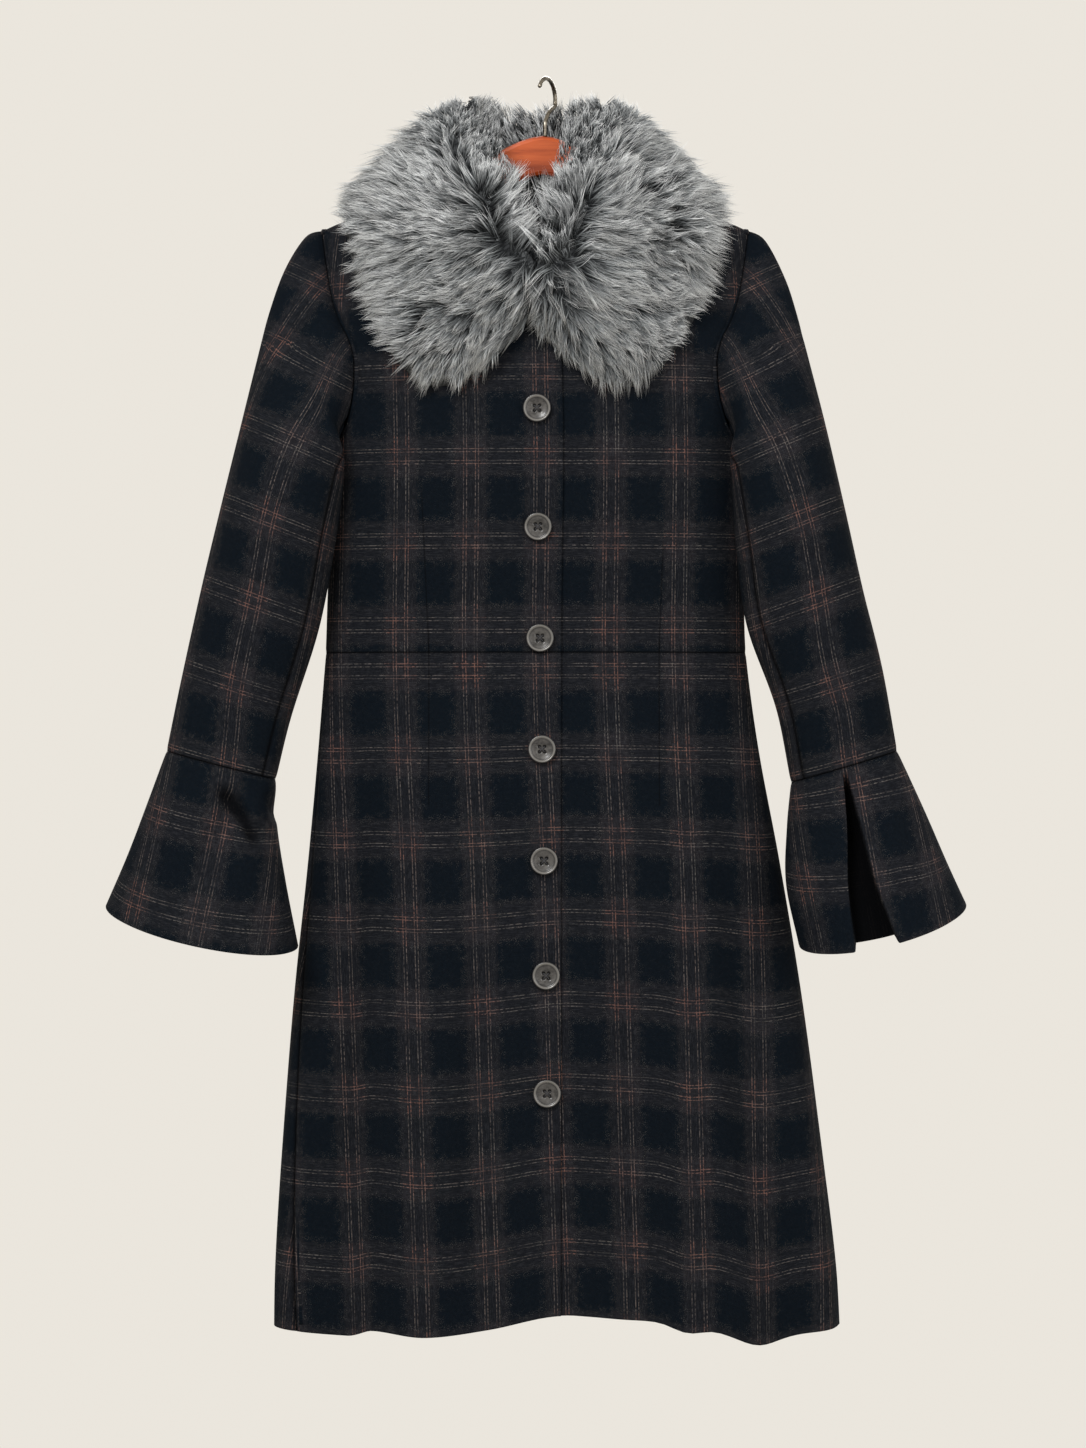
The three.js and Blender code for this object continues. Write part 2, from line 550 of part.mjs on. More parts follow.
// A front skirt panel, from its centre edge to its side seam
function skirtFront(name, panel) {
  const edgeX = CENTRE_X - panel.side * panel.past;
  const turnX = CENTRE_X + panel.side * PLACKET;
  const outer = (drop, across) => {
    const plan = planAt(mix(WAIST_Z, BACK_HEM_Z, drop));
    const angleAt = (x) => panel.side * angleOf((x - plan.middle) / plan.half);
    const placket = { inner: angleAt(edgeX), turn: angleAt(turnX) };
    const angle = angleAcross(placket, sideAngle(panel.side, drop) - SEAM_ANGLE, across);
    const point = shape(skirtPoint(panel.side * angle, drop), panel);
    point.z -= SEAM;
    return point;
  };
  const columns = [...PLACKET_COLUMNS, ...steps(PLACKET_PART, 1, FRONT_SKIRT_COLUMNS)];
  return wall(name, wool, SKIRT_ROWS, columns, outer, squareTo(outer, bodyAxis));
}

function backSkirt() {
  const outer = (drop, across) => {
    const first = sideAngle(1, drop) + SEAM_ANGLE;
    const last = 360 - sideAngle(-1, drop) - SEAM_ANGLE;
    const point = skirtPoint(mix(first, last, across), drop);
    point.y += SEAM;
    point.z -= SEAM;
    return point;
  };
  return wall("back_skirt", wool, SKIRT_ROWS, steps(0, 1, BACK_SKIRT_COLUMNS), outer, squareTo(outer, bodyAxis));
}

// Sleeves and cuffs

// A ring of a sleeve or cuff: its middle, and the way from there to its outer side
function ringAt(table, place) {
  const value = (name) => column(table, "at", place, name);
  const outer = at3(value("outX"), 0, value("outZ"));
  const inner = at3(value("inX"), 0, value("inZ"));
  const middle = outer.clone().add(inner).multiplyScalar(0.5);
  middle.y = -value("fore");
  return { middle: middle, reach: outer.sub(inner).multiplyScalar(0.5), half: value("half") };
}

// A point of a ring: turn 0 is its outer side, 90 its front and 180 its inner side
function ringPoint(ring, turn) {
  const point = ring.middle.clone().addScaledVector(ring.reach, Math.cos(rad(turn)));
  point.y -= ring.half * Math.sin(rad(turn));
  return point;
}

// A turn between -180 and 180
const wrapped = (turn) => (turn > 180 ? turn - 360 : turn);

// The armhole's edge at a turn round the sleeve, from the shoulder tip over the front
function armholeEdge(side, turn) {
  const inFront = wrapped(turn) >= 0;
  const hole = armhole(inFront ? FRONT_ARMHOLE : BACK_ARMHOLE, 1 - Math.abs(wrapped(turn)) / 180);
  return { angle: side * (inFront ? hole.angle : 180 - hole.angle), rise: hole.rise };
}

function armholePoint(side, turn) {
  const edge = armholeEdge(side, turn);
  return bodicePoint(edge.angle, edge.rise);
}

// The direction out of the coat at the armhole's edge
function armholeNormal(side, turn) {
  const small = 1e-3;
  const edge = armholeEdge(side, turn);
  const rise = Math.min(edge.rise, RIDGE - small);
  const across = bodicePoint(edge.angle + small, rise).sub(bodicePoint(edge.angle - small, rise));
  const up = bodicePoint(edge.angle, rise + small).sub(bodicePoint(edge.angle, rise - small));
  const normal = across.cross(up).normalize();
  return normal.x * side < 0 ? normal.negate() : normal;
}

// The armhole's edge, moved off the bodice by the seam's gap
function sleeveStart(side, turn) {
  const small = 0.5;
  const tangent = armholePoint(side, turn + small).sub(armholePoint(side, turn - small));
  const away = tangent.cross(armholeNormal(side, turn)).normalize();
  const outwards = away.x * side + away.z * smooth((Math.abs(wrapped(turn)) - 150) / 20) < 0 ? -1 : 1;
  const tip = Math.exp(-((wrapped(turn) / 15) ** 2));
  const point = armholePoint(side, turn).addScaledVector(away, outwards * ARMHOLE_GAP * (1 - tip));
  point.x += side * TIP_GAP * tip;
  return point;
}

// Moves a point that lies in the body's plan out to its surface and a little further
function clearOfBody(point, margin) {
  if (point.z > CHEST_Z) {
    return point;
  }
  const plan = planAt(point.z);
  const depth = (point.y < 0 ? plan.front : plan.back) + margin;
  const x = point.x - plan.middle;
  const inside = (Math.abs(x) / (plan.half + margin)) ** PLAN_POWER
    + (Math.abs(point.y) / depth) ** PLAN_POWER;
  const scale = inside < 1 ? inside ** (-1 / PLAN_POWER) : 1;
  return at3(plan.middle + x * scale, point.y * scale, point.z);
}

// A point of a sleeve: ellipses whose shape starts as the armhole's own
function sleevePoint(side, place, turn) {
  const table = side < 0 ? RIGHT_SLEEVE : LEFT_SLEEVE;
  const own = sleeveStart(side, turn).sub(ringPoint(ringAt(table, 0), turn));
  const keep = column(table, "at", place, "keep");
  const point = ringPoint(ringAt(table, place), turn).addScaledVector(own, keep);
  return clearOfBody(point, mix(ARMHOLE_GAP, BODY_GAP, smooth(place / 0.1)));
}

// The direction out of a ring's ellipse at a turn round it
function outOfRing(ring, turn) {
  const along = ring.reach.clone().multiplyScalar(Math.cos(rad(turn)) / ring.reach.lengthSq());
  return along.add(at3(0, -Math.sin(rad(turn)) / ring.half, 0)).normalize();
}

// A sleeve's panel between two seams, given as turns round the sleeve
function sleevePanel(name, side, turns) {
  const table = side < 0 ? RIGHT_SLEEVE : LEFT_SLEEVE;
  const outer = (place, turn) => sleevePoint(side, place, turn);
  const normal = (place, turn) => {
    const ring = ringAt(table, place);
    const across = outer(place, turn + SLOPE_TURN).sub(outer(place, turn - SLOPE_TURN));
    const own = ring.reach.clone().cross(at3(0, 1, 0)).cross(across).normalize();
    const near = (1 - smooth(place / 0.08)) * (1 - smooth((Math.abs(wrapped(turn)) - 95) / 40));
    return own.lerp(armholeNormal(side, turn), near).normalize();
  };
  return wall(name, wool, SLEEVE_ROWS, turns, outer, normal);
}

// Turns round the sleeve at the armhole's rows, from the underarm over the back to the
// tip and down the front
const BACK_TURNS = ARMHOLE_PLACES.map((place) => 180 * (place - 1));
const FRONT_TURNS = BACK_TURNS.slice(0, -1).map((turn) => -turn).reverse();
const ALL_TURNS = [...BACK_TURNS, ...FRONT_TURNS];

function sleeve(side, sideName) {
  const inTop = (turn) => turn > BACK_SLEEVE_SEAM + 1 && turn < FRONT_SLEEVE_SEAM - 1;
  const overTop = [BACK_SLEEVE_SEAM + SLEEVE_SEAM_TURN, ...ALL_TURNS.filter(inTop), FRONT_SLEEVE_SEAM - SLEEVE_SEAM_TURN];
  const under = [
    FRONT_SLEEVE_SEAM + SLEEVE_SEAM_TURN,
    ...FRONT_TURNS.filter((turn) => turn > FRONT_SLEEVE_SEAM + 1),
    ...BACK_TURNS.filter((turn) => turn > -180 && turn < BACK_SLEEVE_SEAM - 1).map((turn) => turn + 360),
    BACK_SLEEVE_SEAM + 360 - SLEEVE_SEAM_TURN,
  ];
  return [
    sleevePanel(`${sideName}_top_sleeve`, side, overTop),
    sleevePanel(`${sideName}_under_sleeve`, side, under),
  ];
}

// How far the left cuff's pleat is open at a place, from the seam to the hem
const pleatOpen = (place) => mix(0.4, 1, place);

// Columns round a cuff: a turn, and for the pleat's own columns an offset in half widths
function cuffColumns(hasPleat) {
  const plain = steps(-180, 180, CUFF_COLUMNS).slice(1).map((turn) => ({ turn: turn, offset: 0 }));
  if (!hasPleat) {
    return plain;
  }
  const clearOf = (column) => Math.abs(column.turn - PLEAT.middle) > PLEAT.half + 4;
  const offsets = [-1.2, -1, -0.7, -0.4, 0, 0.4, 0.7, 1, 1.2];
  const own = offsets.map((offset) => ({ turn: PLEAT.middle, offset: offset }));
  const angle = (column) => column.turn + column.offset;
  return [...plain.filter(clearOf), ...own].sort((a, b) => angle(a) - angle(b));
}

// A bell cuff: rings that widen to the hem, with an inverted pleat or a slanting dent
function cuff(name, table, hasPleat) {
  const columns = cuffColumns(hasPleat);
  const outer = (place, index) => {
    const { turn, offset } = columns[(index + columns.length) % columns.length];
    const ring = ringAt(table, place);
    const around = turn + offset * PLEAT.half * pleatOpen(place);
    const point = ringPoint(ring, around);
    const isPleat = hasPleat && turn === PLEAT.middle && Math.abs(offset) < 1;
    const sunk = isPleat ? smooth((1 - Math.abs(offset)) / 0.6) * PLEAT.deep * smooth(place) : 0;
    const side = (turn - DENT.middle - DENT.slant * place) / DENT.half;
    const dent = hasPleat ? 0 : DENT.deep * Math.exp(-side * side) * smooth(place * 4) * smooth((1 - place) * 1.6);
    point.y += sunk + dent;
    point.z -= column(table, "at", place, "dip") * Math.max(Math.sin(rad(around)), 0);
    point.z -= CUFF_GAP * (1 - smooth(place * 8));
    return point;
  };
  const normal = (place, index) => {
    const { turn, offset } = columns[index];
    return outOfRing(ringAt(table, place), turn + offset * PLEAT.half * pleatOpen(place));
  };
  return wall(name, wool, CUFF_ROWS, columns.map((_, index) => index), outer, normal, true);
}

// Collar

// The section of the collar at a place: up its neck side, over the crown and back
// along the coat, all round
function collarSection(table, place) {
  const value = (name, where = place) => column(table, "at", where, name);
  const edgeAt = (where) => overRidge(value("edgeX", where), value("edgeTurn", where));
  const rollAt = (where) => at3(value("rollX", where), value("rollY", where), value("rollZ", where));
  const middleAt = (where) => edgeAt(where).add(rollAt(where)).multiplyScalar(0.5);
  const small = 0.02;
  const along = middleAt(Math.min(place + small, 1)).sub(middleAt(Math.max(place - small, 0)));
  if (place < small) {
    along.set(table === RIGHT_COLLAR ? -1 : 1, 0, 0);
  }
  const roll = rollAt(place);
  const chord = edgeAt(place).sub(roll);
  const up = chord.clone().cross(along).normalize();
  if (up.dot(middleAt(place).sub(COLLAR_HEART)) < 0) {
    up.negate();
  }
  const under = steps(1, 0, UNDER_STEPS).map((part) => {
    const x = mix(value("seatX"), value("edgeX"), part);
    const turn = mix(value("seatTurn"), value("edgeTurn"), part);
    return liftedOff(x, turn);
  });
  const dome = steps(0, 1, DOME_STEPS).slice(0, -1).map((part) => {
    const high = value("crown") * (4 * part * (1 - part)) ** 0.55;
    return roll.clone().addScaledVector(chord, part).addScaledVector(up, high);
  });
  return [...dome, ...under];
}

// A point just off the coat, further off where the ridge is round
function liftedOff(x, turn) {
  const small = 0.05;
  const point = overRidge(x, turn);
  const across = overRidge(x + small, turn).sub(point);
  const down = overRidge(x, turn + small).sub(point);
  const normal = across.cross(down).normalize();
  if (normal.dot(point.clone().sub(COLLAR_HEART)) < 0) {
    normal.negate();
  }
  return point.addScaledVector(normal, COLLAR_LIFT + RIDGE_LIFT * Math.exp(-((turn / 40) ** 2)));
}

function collar() {
  const places = steps(0, 1, COLLAR_STEPS);
  const right = places.slice(1).reverse().map((place) => collarSection(RIGHT_COLLAR, place));
  const left = places.map((place) => collarSection(LEFT_COLLAR, place));
  return loft("fur_collar", fur, [...right, ...left]);
}

// A closed solid through closed sections, with a fan over each end
function loft(name, material, sections) {
  const positions = sections.flat().flatMap((point) => point.toArray());
  const size = sections[0].length;
  const indices = [];
  for (let i = 0; i < sections.length - 1; i += 1) {
    for (let j = 0; j < size; j += 1) {
      const k = (j + 1) % size;
      indices.push(i * size + j, i * size + k, (i + 1) * size + k);
      indices.push(i * size + j, (i + 1) * size + k, (i + 1) * size + j);
    }
  }
  for (const i of [0, sections.length - 1]) {
    const middle = sections[i].reduce((sum, point) => sum.add(point), at3(0, 0, 0)).divideScalar(size);
    const hub = positions.length / 3;
    positions.push(...middle.toArray());
    for (let j = 0; j < size; j += 1) {
      const pair = [i * size + j, i * size + (j + 1) % size];
      indices.push(hub, ...(i === 0 ? pair.reverse() : pair));
    }
  }
  return solid(name, material, positions, indices);
}

// Buttons

// The coat's front at a place, and the direction out of it
function frontPoint(x, z) {
  const plan = planAt(z);
  const angle = angleOf((x - plan.middle) / plan.half);
  return z > WAIST_Z ? bodicePoint(angle, z - CHEST_Z) : skirtPoint(angle, (z - WAIST_Z) / (hemZ(angle, x) - WAIST_Z));
}

function button(place, index) {
  const profile = [
    [0, 0],
    [BUTTON_R - 0.8, 0],
    [BUTTON_R, 1.2],
    [BUTTON_R - 0.6, BUTTON_RIM - 0.5],
    [BUTTON_R - 1.8, BUTTON_RIM],
    [BUTTON_R - 3.8, BUTTON_DISH],
    [0, BUTTON_DISH - 0.3],
  ].map(([radius, height]) => new THREE.Vector2(radius, -height));
  const lathe = new THREE.LatheGeometry(profile, 16);
  const mesh = solid(`button_${index + 1}`, horn, [...lathe.attributes.position.array], [...lathe.index.array]);
  const step = 5;
  const point = frontPoint(place.x, place.z);
  const across = frontPoint(place.x + step, place.z).sub(frontPoint(place.x - step, place.z));
  const up = frontPoint(place.x, place.z + step).sub(frontPoint(place.x, place.z - step));
  const out = across.cross(up).normalize();
  mesh.position.copy(point).addScaledVector(out, BUTTON_SEAT);
  mesh.quaternion.setFromUnitVectors(at3(0, -1, 0), out);
  return mesh;
}

// Hanger

// A wooden yoke whose arms lie just under the coat's shoulder ridges
function hangerBody() {
  const armTop = (x) => ridgeZ(x) - CLOTH - HANGER_SEAT;
  const neck = (side) => CENTRE_X + side * HANGER_NECK;
  const tip = (side) => CENTRE_X + side * HANGER_ARM;
  const outline = new THREE.Shape();
  outline.moveTo(HANGER_X, HANGER_TOP_Z);
  for (const side of [1, -1]) {
    const goingOut = side > 0;
    const top = [HANGER_X + side * 30, HANGER_TOP_Z - 2, neck(side), armTop(neck(side))];
    const end = [tip(side), armTop(tip(side))];
    const low = [tip(side), armTop(tip(side)) - HANGER_TIP];
    const bottomNeck = [neck(side), armTop(neck(side)) - HANGER_DEEP * 0.8];
    if (goingOut) {
      outline.quadraticCurveTo(...top);
      outline.lineTo(...end);
      outline.lineTo(...low);
      outline.lineTo(...bottomNeck);
      outline.quadraticCurveTo(HANGER_X + 22, HANGER_TOP_Z - HANGER_DEEP - 2, HANGER_X, HANGER_TOP_Z - HANGER_DEEP);
    } else {
      outline.quadraticCurveTo(HANGER_X - 22, HANGER_TOP_Z - HANGER_DEEP - 2, ...bottomNeck);
      outline.lineTo(...low);
      outline.lineTo(...end);
      outline.lineTo(neck(side), armTop(neck(side)));
      outline.quadraticCurveTo(HANGER_X - 30, HANGER_TOP_Z - 2, HANGER_X, HANGER_TOP_Z);
    }
  }
  const geometry = new THREE.ExtrudeGeometry(outline, {
    depth: HANGER_THICK - 2 * HANGER_BEVEL,
    bevelThickness: HANGER_BEVEL,
    bevelSize: HANGER_BEVEL,
    bevelOffset: -HANGER_BEVEL,
    bevelSegments: 2,
    curveSegments: 6,
  });
  geometry.translate(0, 0, HANGER_BEVEL - HANGER_THICK / 2);
  geometry.rotateX(Math.PI / 2);
  const mesh = new THREE.Mesh(geometry, wood);
  mesh.name = "hanger_body";
  return mesh;
}

// The bent wire, drawn in the plane X, Z and turned with it
function hangerHook() {
  const middleR = HOOK_R + WIRE_R;
  const bend = (angle) => at3(middleR * Math.cos(rad(angle)), 0, middleR * Math.sin(rad(angle)) - HOOK_R);
  const points = [
    at3(STEM_OFFSET, 0, HANGER_TOP_Z + SEAT),
    at3(STEM_OFFSET, 0, HANGER_TOP_Z + 12),
    at3(STEM_OFFSET + 8, 0, HANGER_TOP_Z + 22),
    ...steps(HOOK_START, HOOK_END, 8).map(bend),
  ];
  const section = new THREE.Shape();
  section.absarc(0, 0, WIRE_R, 0, 2 * Math.PI);
  const geometry = new THREE.ExtrudeGeometry(section, {
    steps: 34,
    curveSegments: 4,
    bevelEnabled: false,
    extrudePath: new THREE.CatmullRomCurve3(points),
  });
  const mesh = new THREE.Mesh(geometry, steel);
  mesh.name = "hanger_hook";
  mesh.rotation.z = rad(HOOK_TURN);
  return mesh;
}

// Assembly

const RIGHT = { side: -1, past: OVERLAP, tucks: false };
const LEFT = { side: 1, past: UNDERLAP, tucks: true };

// A front bodice panel from its centre edge, on the other side of the middle, to its side
function frontPanel(front) {
  const half = planAt(CHEST_Z).half;
  const inner = -angleOf(front.past / half);
  const turn = angleOf(PLACKET / half);
  return {
    ...front,
    inner: inner,
    turn: turn,
    armhole: FRONT_ARMHOLE,
    neckRise: FRONT_NECK_RISE,
    neckPower: FRONT_NECK_POWER,
    columns: panelColumns(turn),
  };
}

const coat = new THREE.Group();
coat.add(
  bodicePanel("right_bodice_front", frontPanel(RIGHT)),
  bodicePanel("left_bodice_front", frontPanel(LEFT)),
  backBodice(),
  skirtFront("right_skirt_front", RIGHT),
  skirtFront("left_skirt_front", LEFT),
  backSkirt(),
  ...sleeve(-1, "right"),
  ...sleeve(1, "left"),
  cuff("right_cuff", RIGHT_CUFF, false),
  cuff("left_cuff", LEFT_CUFF, true),
  collar(),
  ...BUTTONS.map(button),
);

const hanger = new THREE.Group();
hanger.add(hangerBody(), hangerHook());

const part = new THREE.Group();
part.add(coat, hanger);

export default part;
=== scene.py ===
"""A knee-length plaid wool coat with a fur collar and bell cuffs, buttoned, on a wooden hanger.

The pattern's tables and the surfaces worked out from them are in millimetres, as a maker
writes them. +Z is up, the front faces -Y and the wearer's right is at -X, so the viewer's
left. A mesh is put into metres when it is made.
"""

import bpy
import numpy as np
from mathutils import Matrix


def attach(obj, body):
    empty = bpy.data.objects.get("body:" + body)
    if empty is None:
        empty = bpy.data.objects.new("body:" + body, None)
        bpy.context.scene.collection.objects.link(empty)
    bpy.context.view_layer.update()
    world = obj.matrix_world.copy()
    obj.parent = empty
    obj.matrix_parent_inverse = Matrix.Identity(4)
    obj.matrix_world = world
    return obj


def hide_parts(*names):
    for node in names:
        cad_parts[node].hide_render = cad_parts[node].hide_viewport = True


MM = 0.001
CLOTH = 2.0                    # wall of a coat panel
SEAM = 0.22                    # each panel stops this far from the middle of its seam
RIDGE = 90.0                   # rise of the shoulder ridge, in degrees of the roof's arc

# Body: levels and the plan of its sections
CHEST_Z = -224.0               # above this level the front and back close towards the ridge
WAIST_Z = -515.0
UNDERARM_Z = -346.0
PLAN_POWER = 2.2               # 2 is an ellipse, more is squarer
ROOF_POWER = 2.2
CENTRE_X = -10.8               # the coat hangs this far to the side of the hook
SHOULDER_SLOPE = 0.40
NECK_HALF = 74.7               # half the distance between the neck points
NECK_POINT_Z = -87.75          # where the shoulder seam meets the neckline
FRONT_NECK = (16.6, 2.4)       # rise of the neckline's lowest point, and how square it is
BACK_NECK = (48.0, 2.6)
OVERLAP = 23.4                 # the top front passes the centre by this much
UNDERLAP = 18.0                # so does the front below it
TUCK = CLOTH + 0.8             # how far the lower front lies in under the top one
TUCK_PAST = 6.0                # it still does this far past the top front's edge
TUCK_RUN = 16.0                # and comes out over this
PLACKET = 45.4                 # from the centre to where a front panel's placket ends
PLACKET_PART = 0.2             # the part of a panel's columns that the placket takes
SIDE_PART = 0.4                # the part of a bodice panel's rows below the underarm
BACK_HEM_Z = -1118.0
RIGHT_SEAM_FORWARD = 27.0      # degrees by which the right side seam comes forward at the hem
SEAM_ANGLE = 0.15              # from a panel of the skirt to its side seam, in degrees


def table(names, rows):
    """A table of the pattern: each name with its column of numbers."""
    return dict(zip(names.split(), np.array(rows, float).T))


SILHOUETTE = table("z left right front back", (
    (-120, -202.5, 181, 50, 46),
    (-224, -202.5, 181, 52, 46),
    (-332, -200, 182, 54, 46),
    (-420, -197, 178, 48, 42),
    (-485, -198.5, 178, 43, 40),
    (-523, -200, 180, 43, 41),
    (-603, -206, 191, 48, 47),
    (-702, -215, 209.5, 53, 53),
    (-824, -227.5, 229.5, 58, 58),
    (-969, -238, 248.5, 63, 63),
    (-1065, -243, 260, 66, 66),
    (-1135, -244, 264, 68, 68),
))
FRONT_HEM = table("x z", (
    (-250, -1117),
    (-179, -1123),
    (-155, -1117),
    (-107, -1121),
    (-51, -1114),
    (10, -1102),
    (72, -1106),
    (100, -1109),
    (124, -1118),
    (149, -1117),
    (189, -1130),
    (230, -1121),
    (262, -1117),
))
SKIRT_FOLDS = table("angle half out from", (
    (-70, 13, 7, 0.35),
    (-47, 10, -8, 0.25),
    (-29, 12, 7, 0.15),
    (20, 11, -5, 0.30),
    (38, 9, 8, 0.20),
    (50, 9, -9, 0.35),
    (64, 11, 10, 0.30),
    (116, 13, 8, 0.30),
    (140, 12, -7, 0.25),
    (163, 13, 9, 0.15),
    (190, 12, -6, 0.30),
    (212, 13, 9, 0.20),
    (238, 12, -7, 0.30),
))
FRONT_ARMHOLE = table("at rise angle", (
    (0.00, -122, 90),
    (0.09, -110, 71),
    (0.21, -84, 59),
    (0.42, -34, 54.5),
    (0.54, -6, 58.5),
    (0.63, 13, 67),
    (0.80, 46, 77),
    (1.00, 90, 88.6),
))
BACK_ARMHOLE = table("at rise angle", (
    (0.00, -122, 90),
    (0.10, -108, 69),
    (0.22, -80, 60),
    (0.42, -32, 57),
    (0.60, 6, 63),
    (0.80, 46, 76),
    (1.00, 90, 88.6),
))
RIGHT_SLEEVE = table("at outX outZ inX inZ half fore keep", (
    (0.00, -202.6, -135.6, -200, -346, 46, 2, 1),
    (0.05, -217, -142, -201, -349, 51, 4, 0.95),
    (0.12, -235, -171, -200, -353, 54, 8, 0.85),
    (0.20, -248.5, -209, -196, -356, 55, 13, 0.72),
    (0.28, -257.5, -245, -185, -360, 54, 19, 0.55),
    (0.40, -273.6, -313, -182, -366, 50, 27, 0.2),
    (0.53, -289, -378, -189, -420, 46, 34, 0),
    (0.69, -307, -454.5, -203, -494, 42, 38, 0),
    (0.87, -326.5, -544, -228, -574, 36, 40, 0),
    (1.00, -338.4, -602.6, -241.2, -627.8, 33, 41, 0),
))
LEFT_SLEEVE = table("at outX outZ inX inZ half fore keep", (
    (0.00, 181.1, -135.6, 182, -346, 46, 2, 1),
    (0.05, 196, -145, 183, -349, 51, 4, 0.95),
    (0.12, 213.5, -179, 182, -353, 54, 8, 0.85),
    (0.20, 224, -212, 178, -356, 55, 13, 0.72),
    (0.28, 233, -248, 168, -360, 54, 19, 0.55),
    (0.40, 249, -313, 165, -366, 50, 27, 0.2),
    (0.53, 266, -389, 169, -428, 46, 34, 0),
    (0.69, 281, -458, 178, -492, 42, 38, 0),
    (0.87, 298.5, -530, 204, -566, 36, 40, 0),
    (1.00, 311.4, -602.6, 216.9, -630.5, 33, 41, 0),
))
RIGHT_CUFF = table("at outX outZ inX inZ half fore dip", (
    (0.00, -338.4, -602.6, -241.2, -627.8, 33, 41, 0),
    (0.30, -353, -643, -240, -668, 42, 44, 4),
    (0.65, -372, -694, -232, -719, 54, 48, 9),
    (1.00, -391, -739.5, -220.5, -776, 63, 54, 15),
))
LEFT_CUFF = table("at outX outZ inX inZ half fore dip", (
    (0.00, 311.4, -602.6, 216.9, -630.5, 33, 41, 0),
    (0.30, 336, -657, 213, -671, 43, 45, 4),
    (0.65, 355, -702, 212, -721, 56, 51, 9),
    (1.00, 371, -738, 223, -775, 66, 58, 15),
))
RIGHT_COLLAR = table("at seatX seatTurn rollX rollY rollZ edgeX edgeTurn crown", (
    (0.00, -10.8, -43, -10.8, 34, -30, -10.8, -80, 22),
    (0.15, -50, -38, -42, 30, -24, -72, -82, 24),
    (0.30, -76, -24, -66, 14, -18, -135, -66, 24),
    (0.42, -86, 0, -70, -2, -19, -175, -12, 22),
    (0.52, -86, 18, -58, -18, -32, -179, 32, 24),
    (0.62, -81, 36, -42, -38, -60, -168, 70, 26),
    (0.72, -68, 53, -29, -54, -94, -145, 98, 28),
    (0.82, -48, 67, -21, -64, -126, -107, 117, 30),
    (0.91, -29, 74, -16, -70, -150, -62, 112, 28),
    (1.00, -14, 76, -12.5, -74, -165, -18, 90, 18),
))
LEFT_COLLAR = table("at seatX seatTurn rollX rollY rollZ edgeX edgeTurn crown", (
    (0.00, -10.8, -43, -10.8, 34, -30, -10.8, -80, 22),
    (0.15, 28, -38, 18, 30, -24, 50, -82, 24),
    (0.30, 54, -24, 41, 14, -18, 112, -66, 24),
    (0.42, 64.4, 0, 47, -2, -19, 151, -12, 22),
    (0.52, 64.4, 18, 36, -18, -30, 154, 30, 24),
    (0.62, 59, 36, 18, -38, -56, 146, 66, 26),
    (0.72, 46, 53, 7, -54, -88, 124, 93, 28),
    (0.82, 26, 67, 0, -64, -122, 84, 117, 30),
    (0.91, 7, 74, -4.5, -70, -147, 40, 112, 28),
    (1.00, -8, 76, -8.5, -74, -162, -4, 90, 18),
))
BUTTONS = table("x z", (
    (-9.0, -299),
    (-8.1, -403.5),
    (-6.3, -502.5),
    (-4.5, -601.5),
    (-2.7, -700.5),
    (-0.9, -802),
    (0.0, -906),
))
SIDE_SEAM_DEEP, SIDE_SEAM_R = 5.2, 2.6
SIDE_SEAM_TOP = 6.0            # how far it starts below the underarm
ARMHOLE_GAP = 0.3              # between a sleeve and the bodice at their seam
ARMHOLE_SEAM_DEEP, ARMHOLE_SEAM_R = 3.0, 2.6
BODY_GAP = 2.8                 # between a hanging sleeve and the body beside it
FRONT_SLEEVE_SEAM = 143.0      # degrees round the sleeve from its outer side, over the front
BACK_SLEEVE_SEAM = -112.0
SLEEVE_SEAM_TURN = 0.32        # from a sleeve's panel to its seam, in degrees
CUFF_GAP = 0.3
PLEAT = {"middle": 93.0, "half": 15.0, "deep": 22.0}
PLEAT_LIP = 0.16               # how much of the pleat's half width its lips take
PLEAT_LEAN = 5.0               # degrees by which it leans to the inner side at the hem
PLEAT_HEM = 7.0                # how much higher the hem is inside it
PLEAT_TOP = 0.12               # the part of its width that it has at the seam
FOLD_START = 8.0               # a cuff's folds set in over its length divided by this
DENT = {"middle": 122.0, "slant": -52.0, "half": 15.0, "deep": 9.0}
SEAM_DEPTH = 1.1               # how far cloth sinks at a sewn edge
SEAM_WIDTH = 2.6
FLAT_SEAM = 0.45               # the part of it at seams that run round the coat or a sleeve
CREASE_DEEP, CREASE_SHADE = 9.0, 0.8   # a crease this deep gets so much painted shade at its foot
SEAM_LINE, JOIN_SHADE = 0.9, 0.75   # how wide the painted shade line along a join is, and how dark
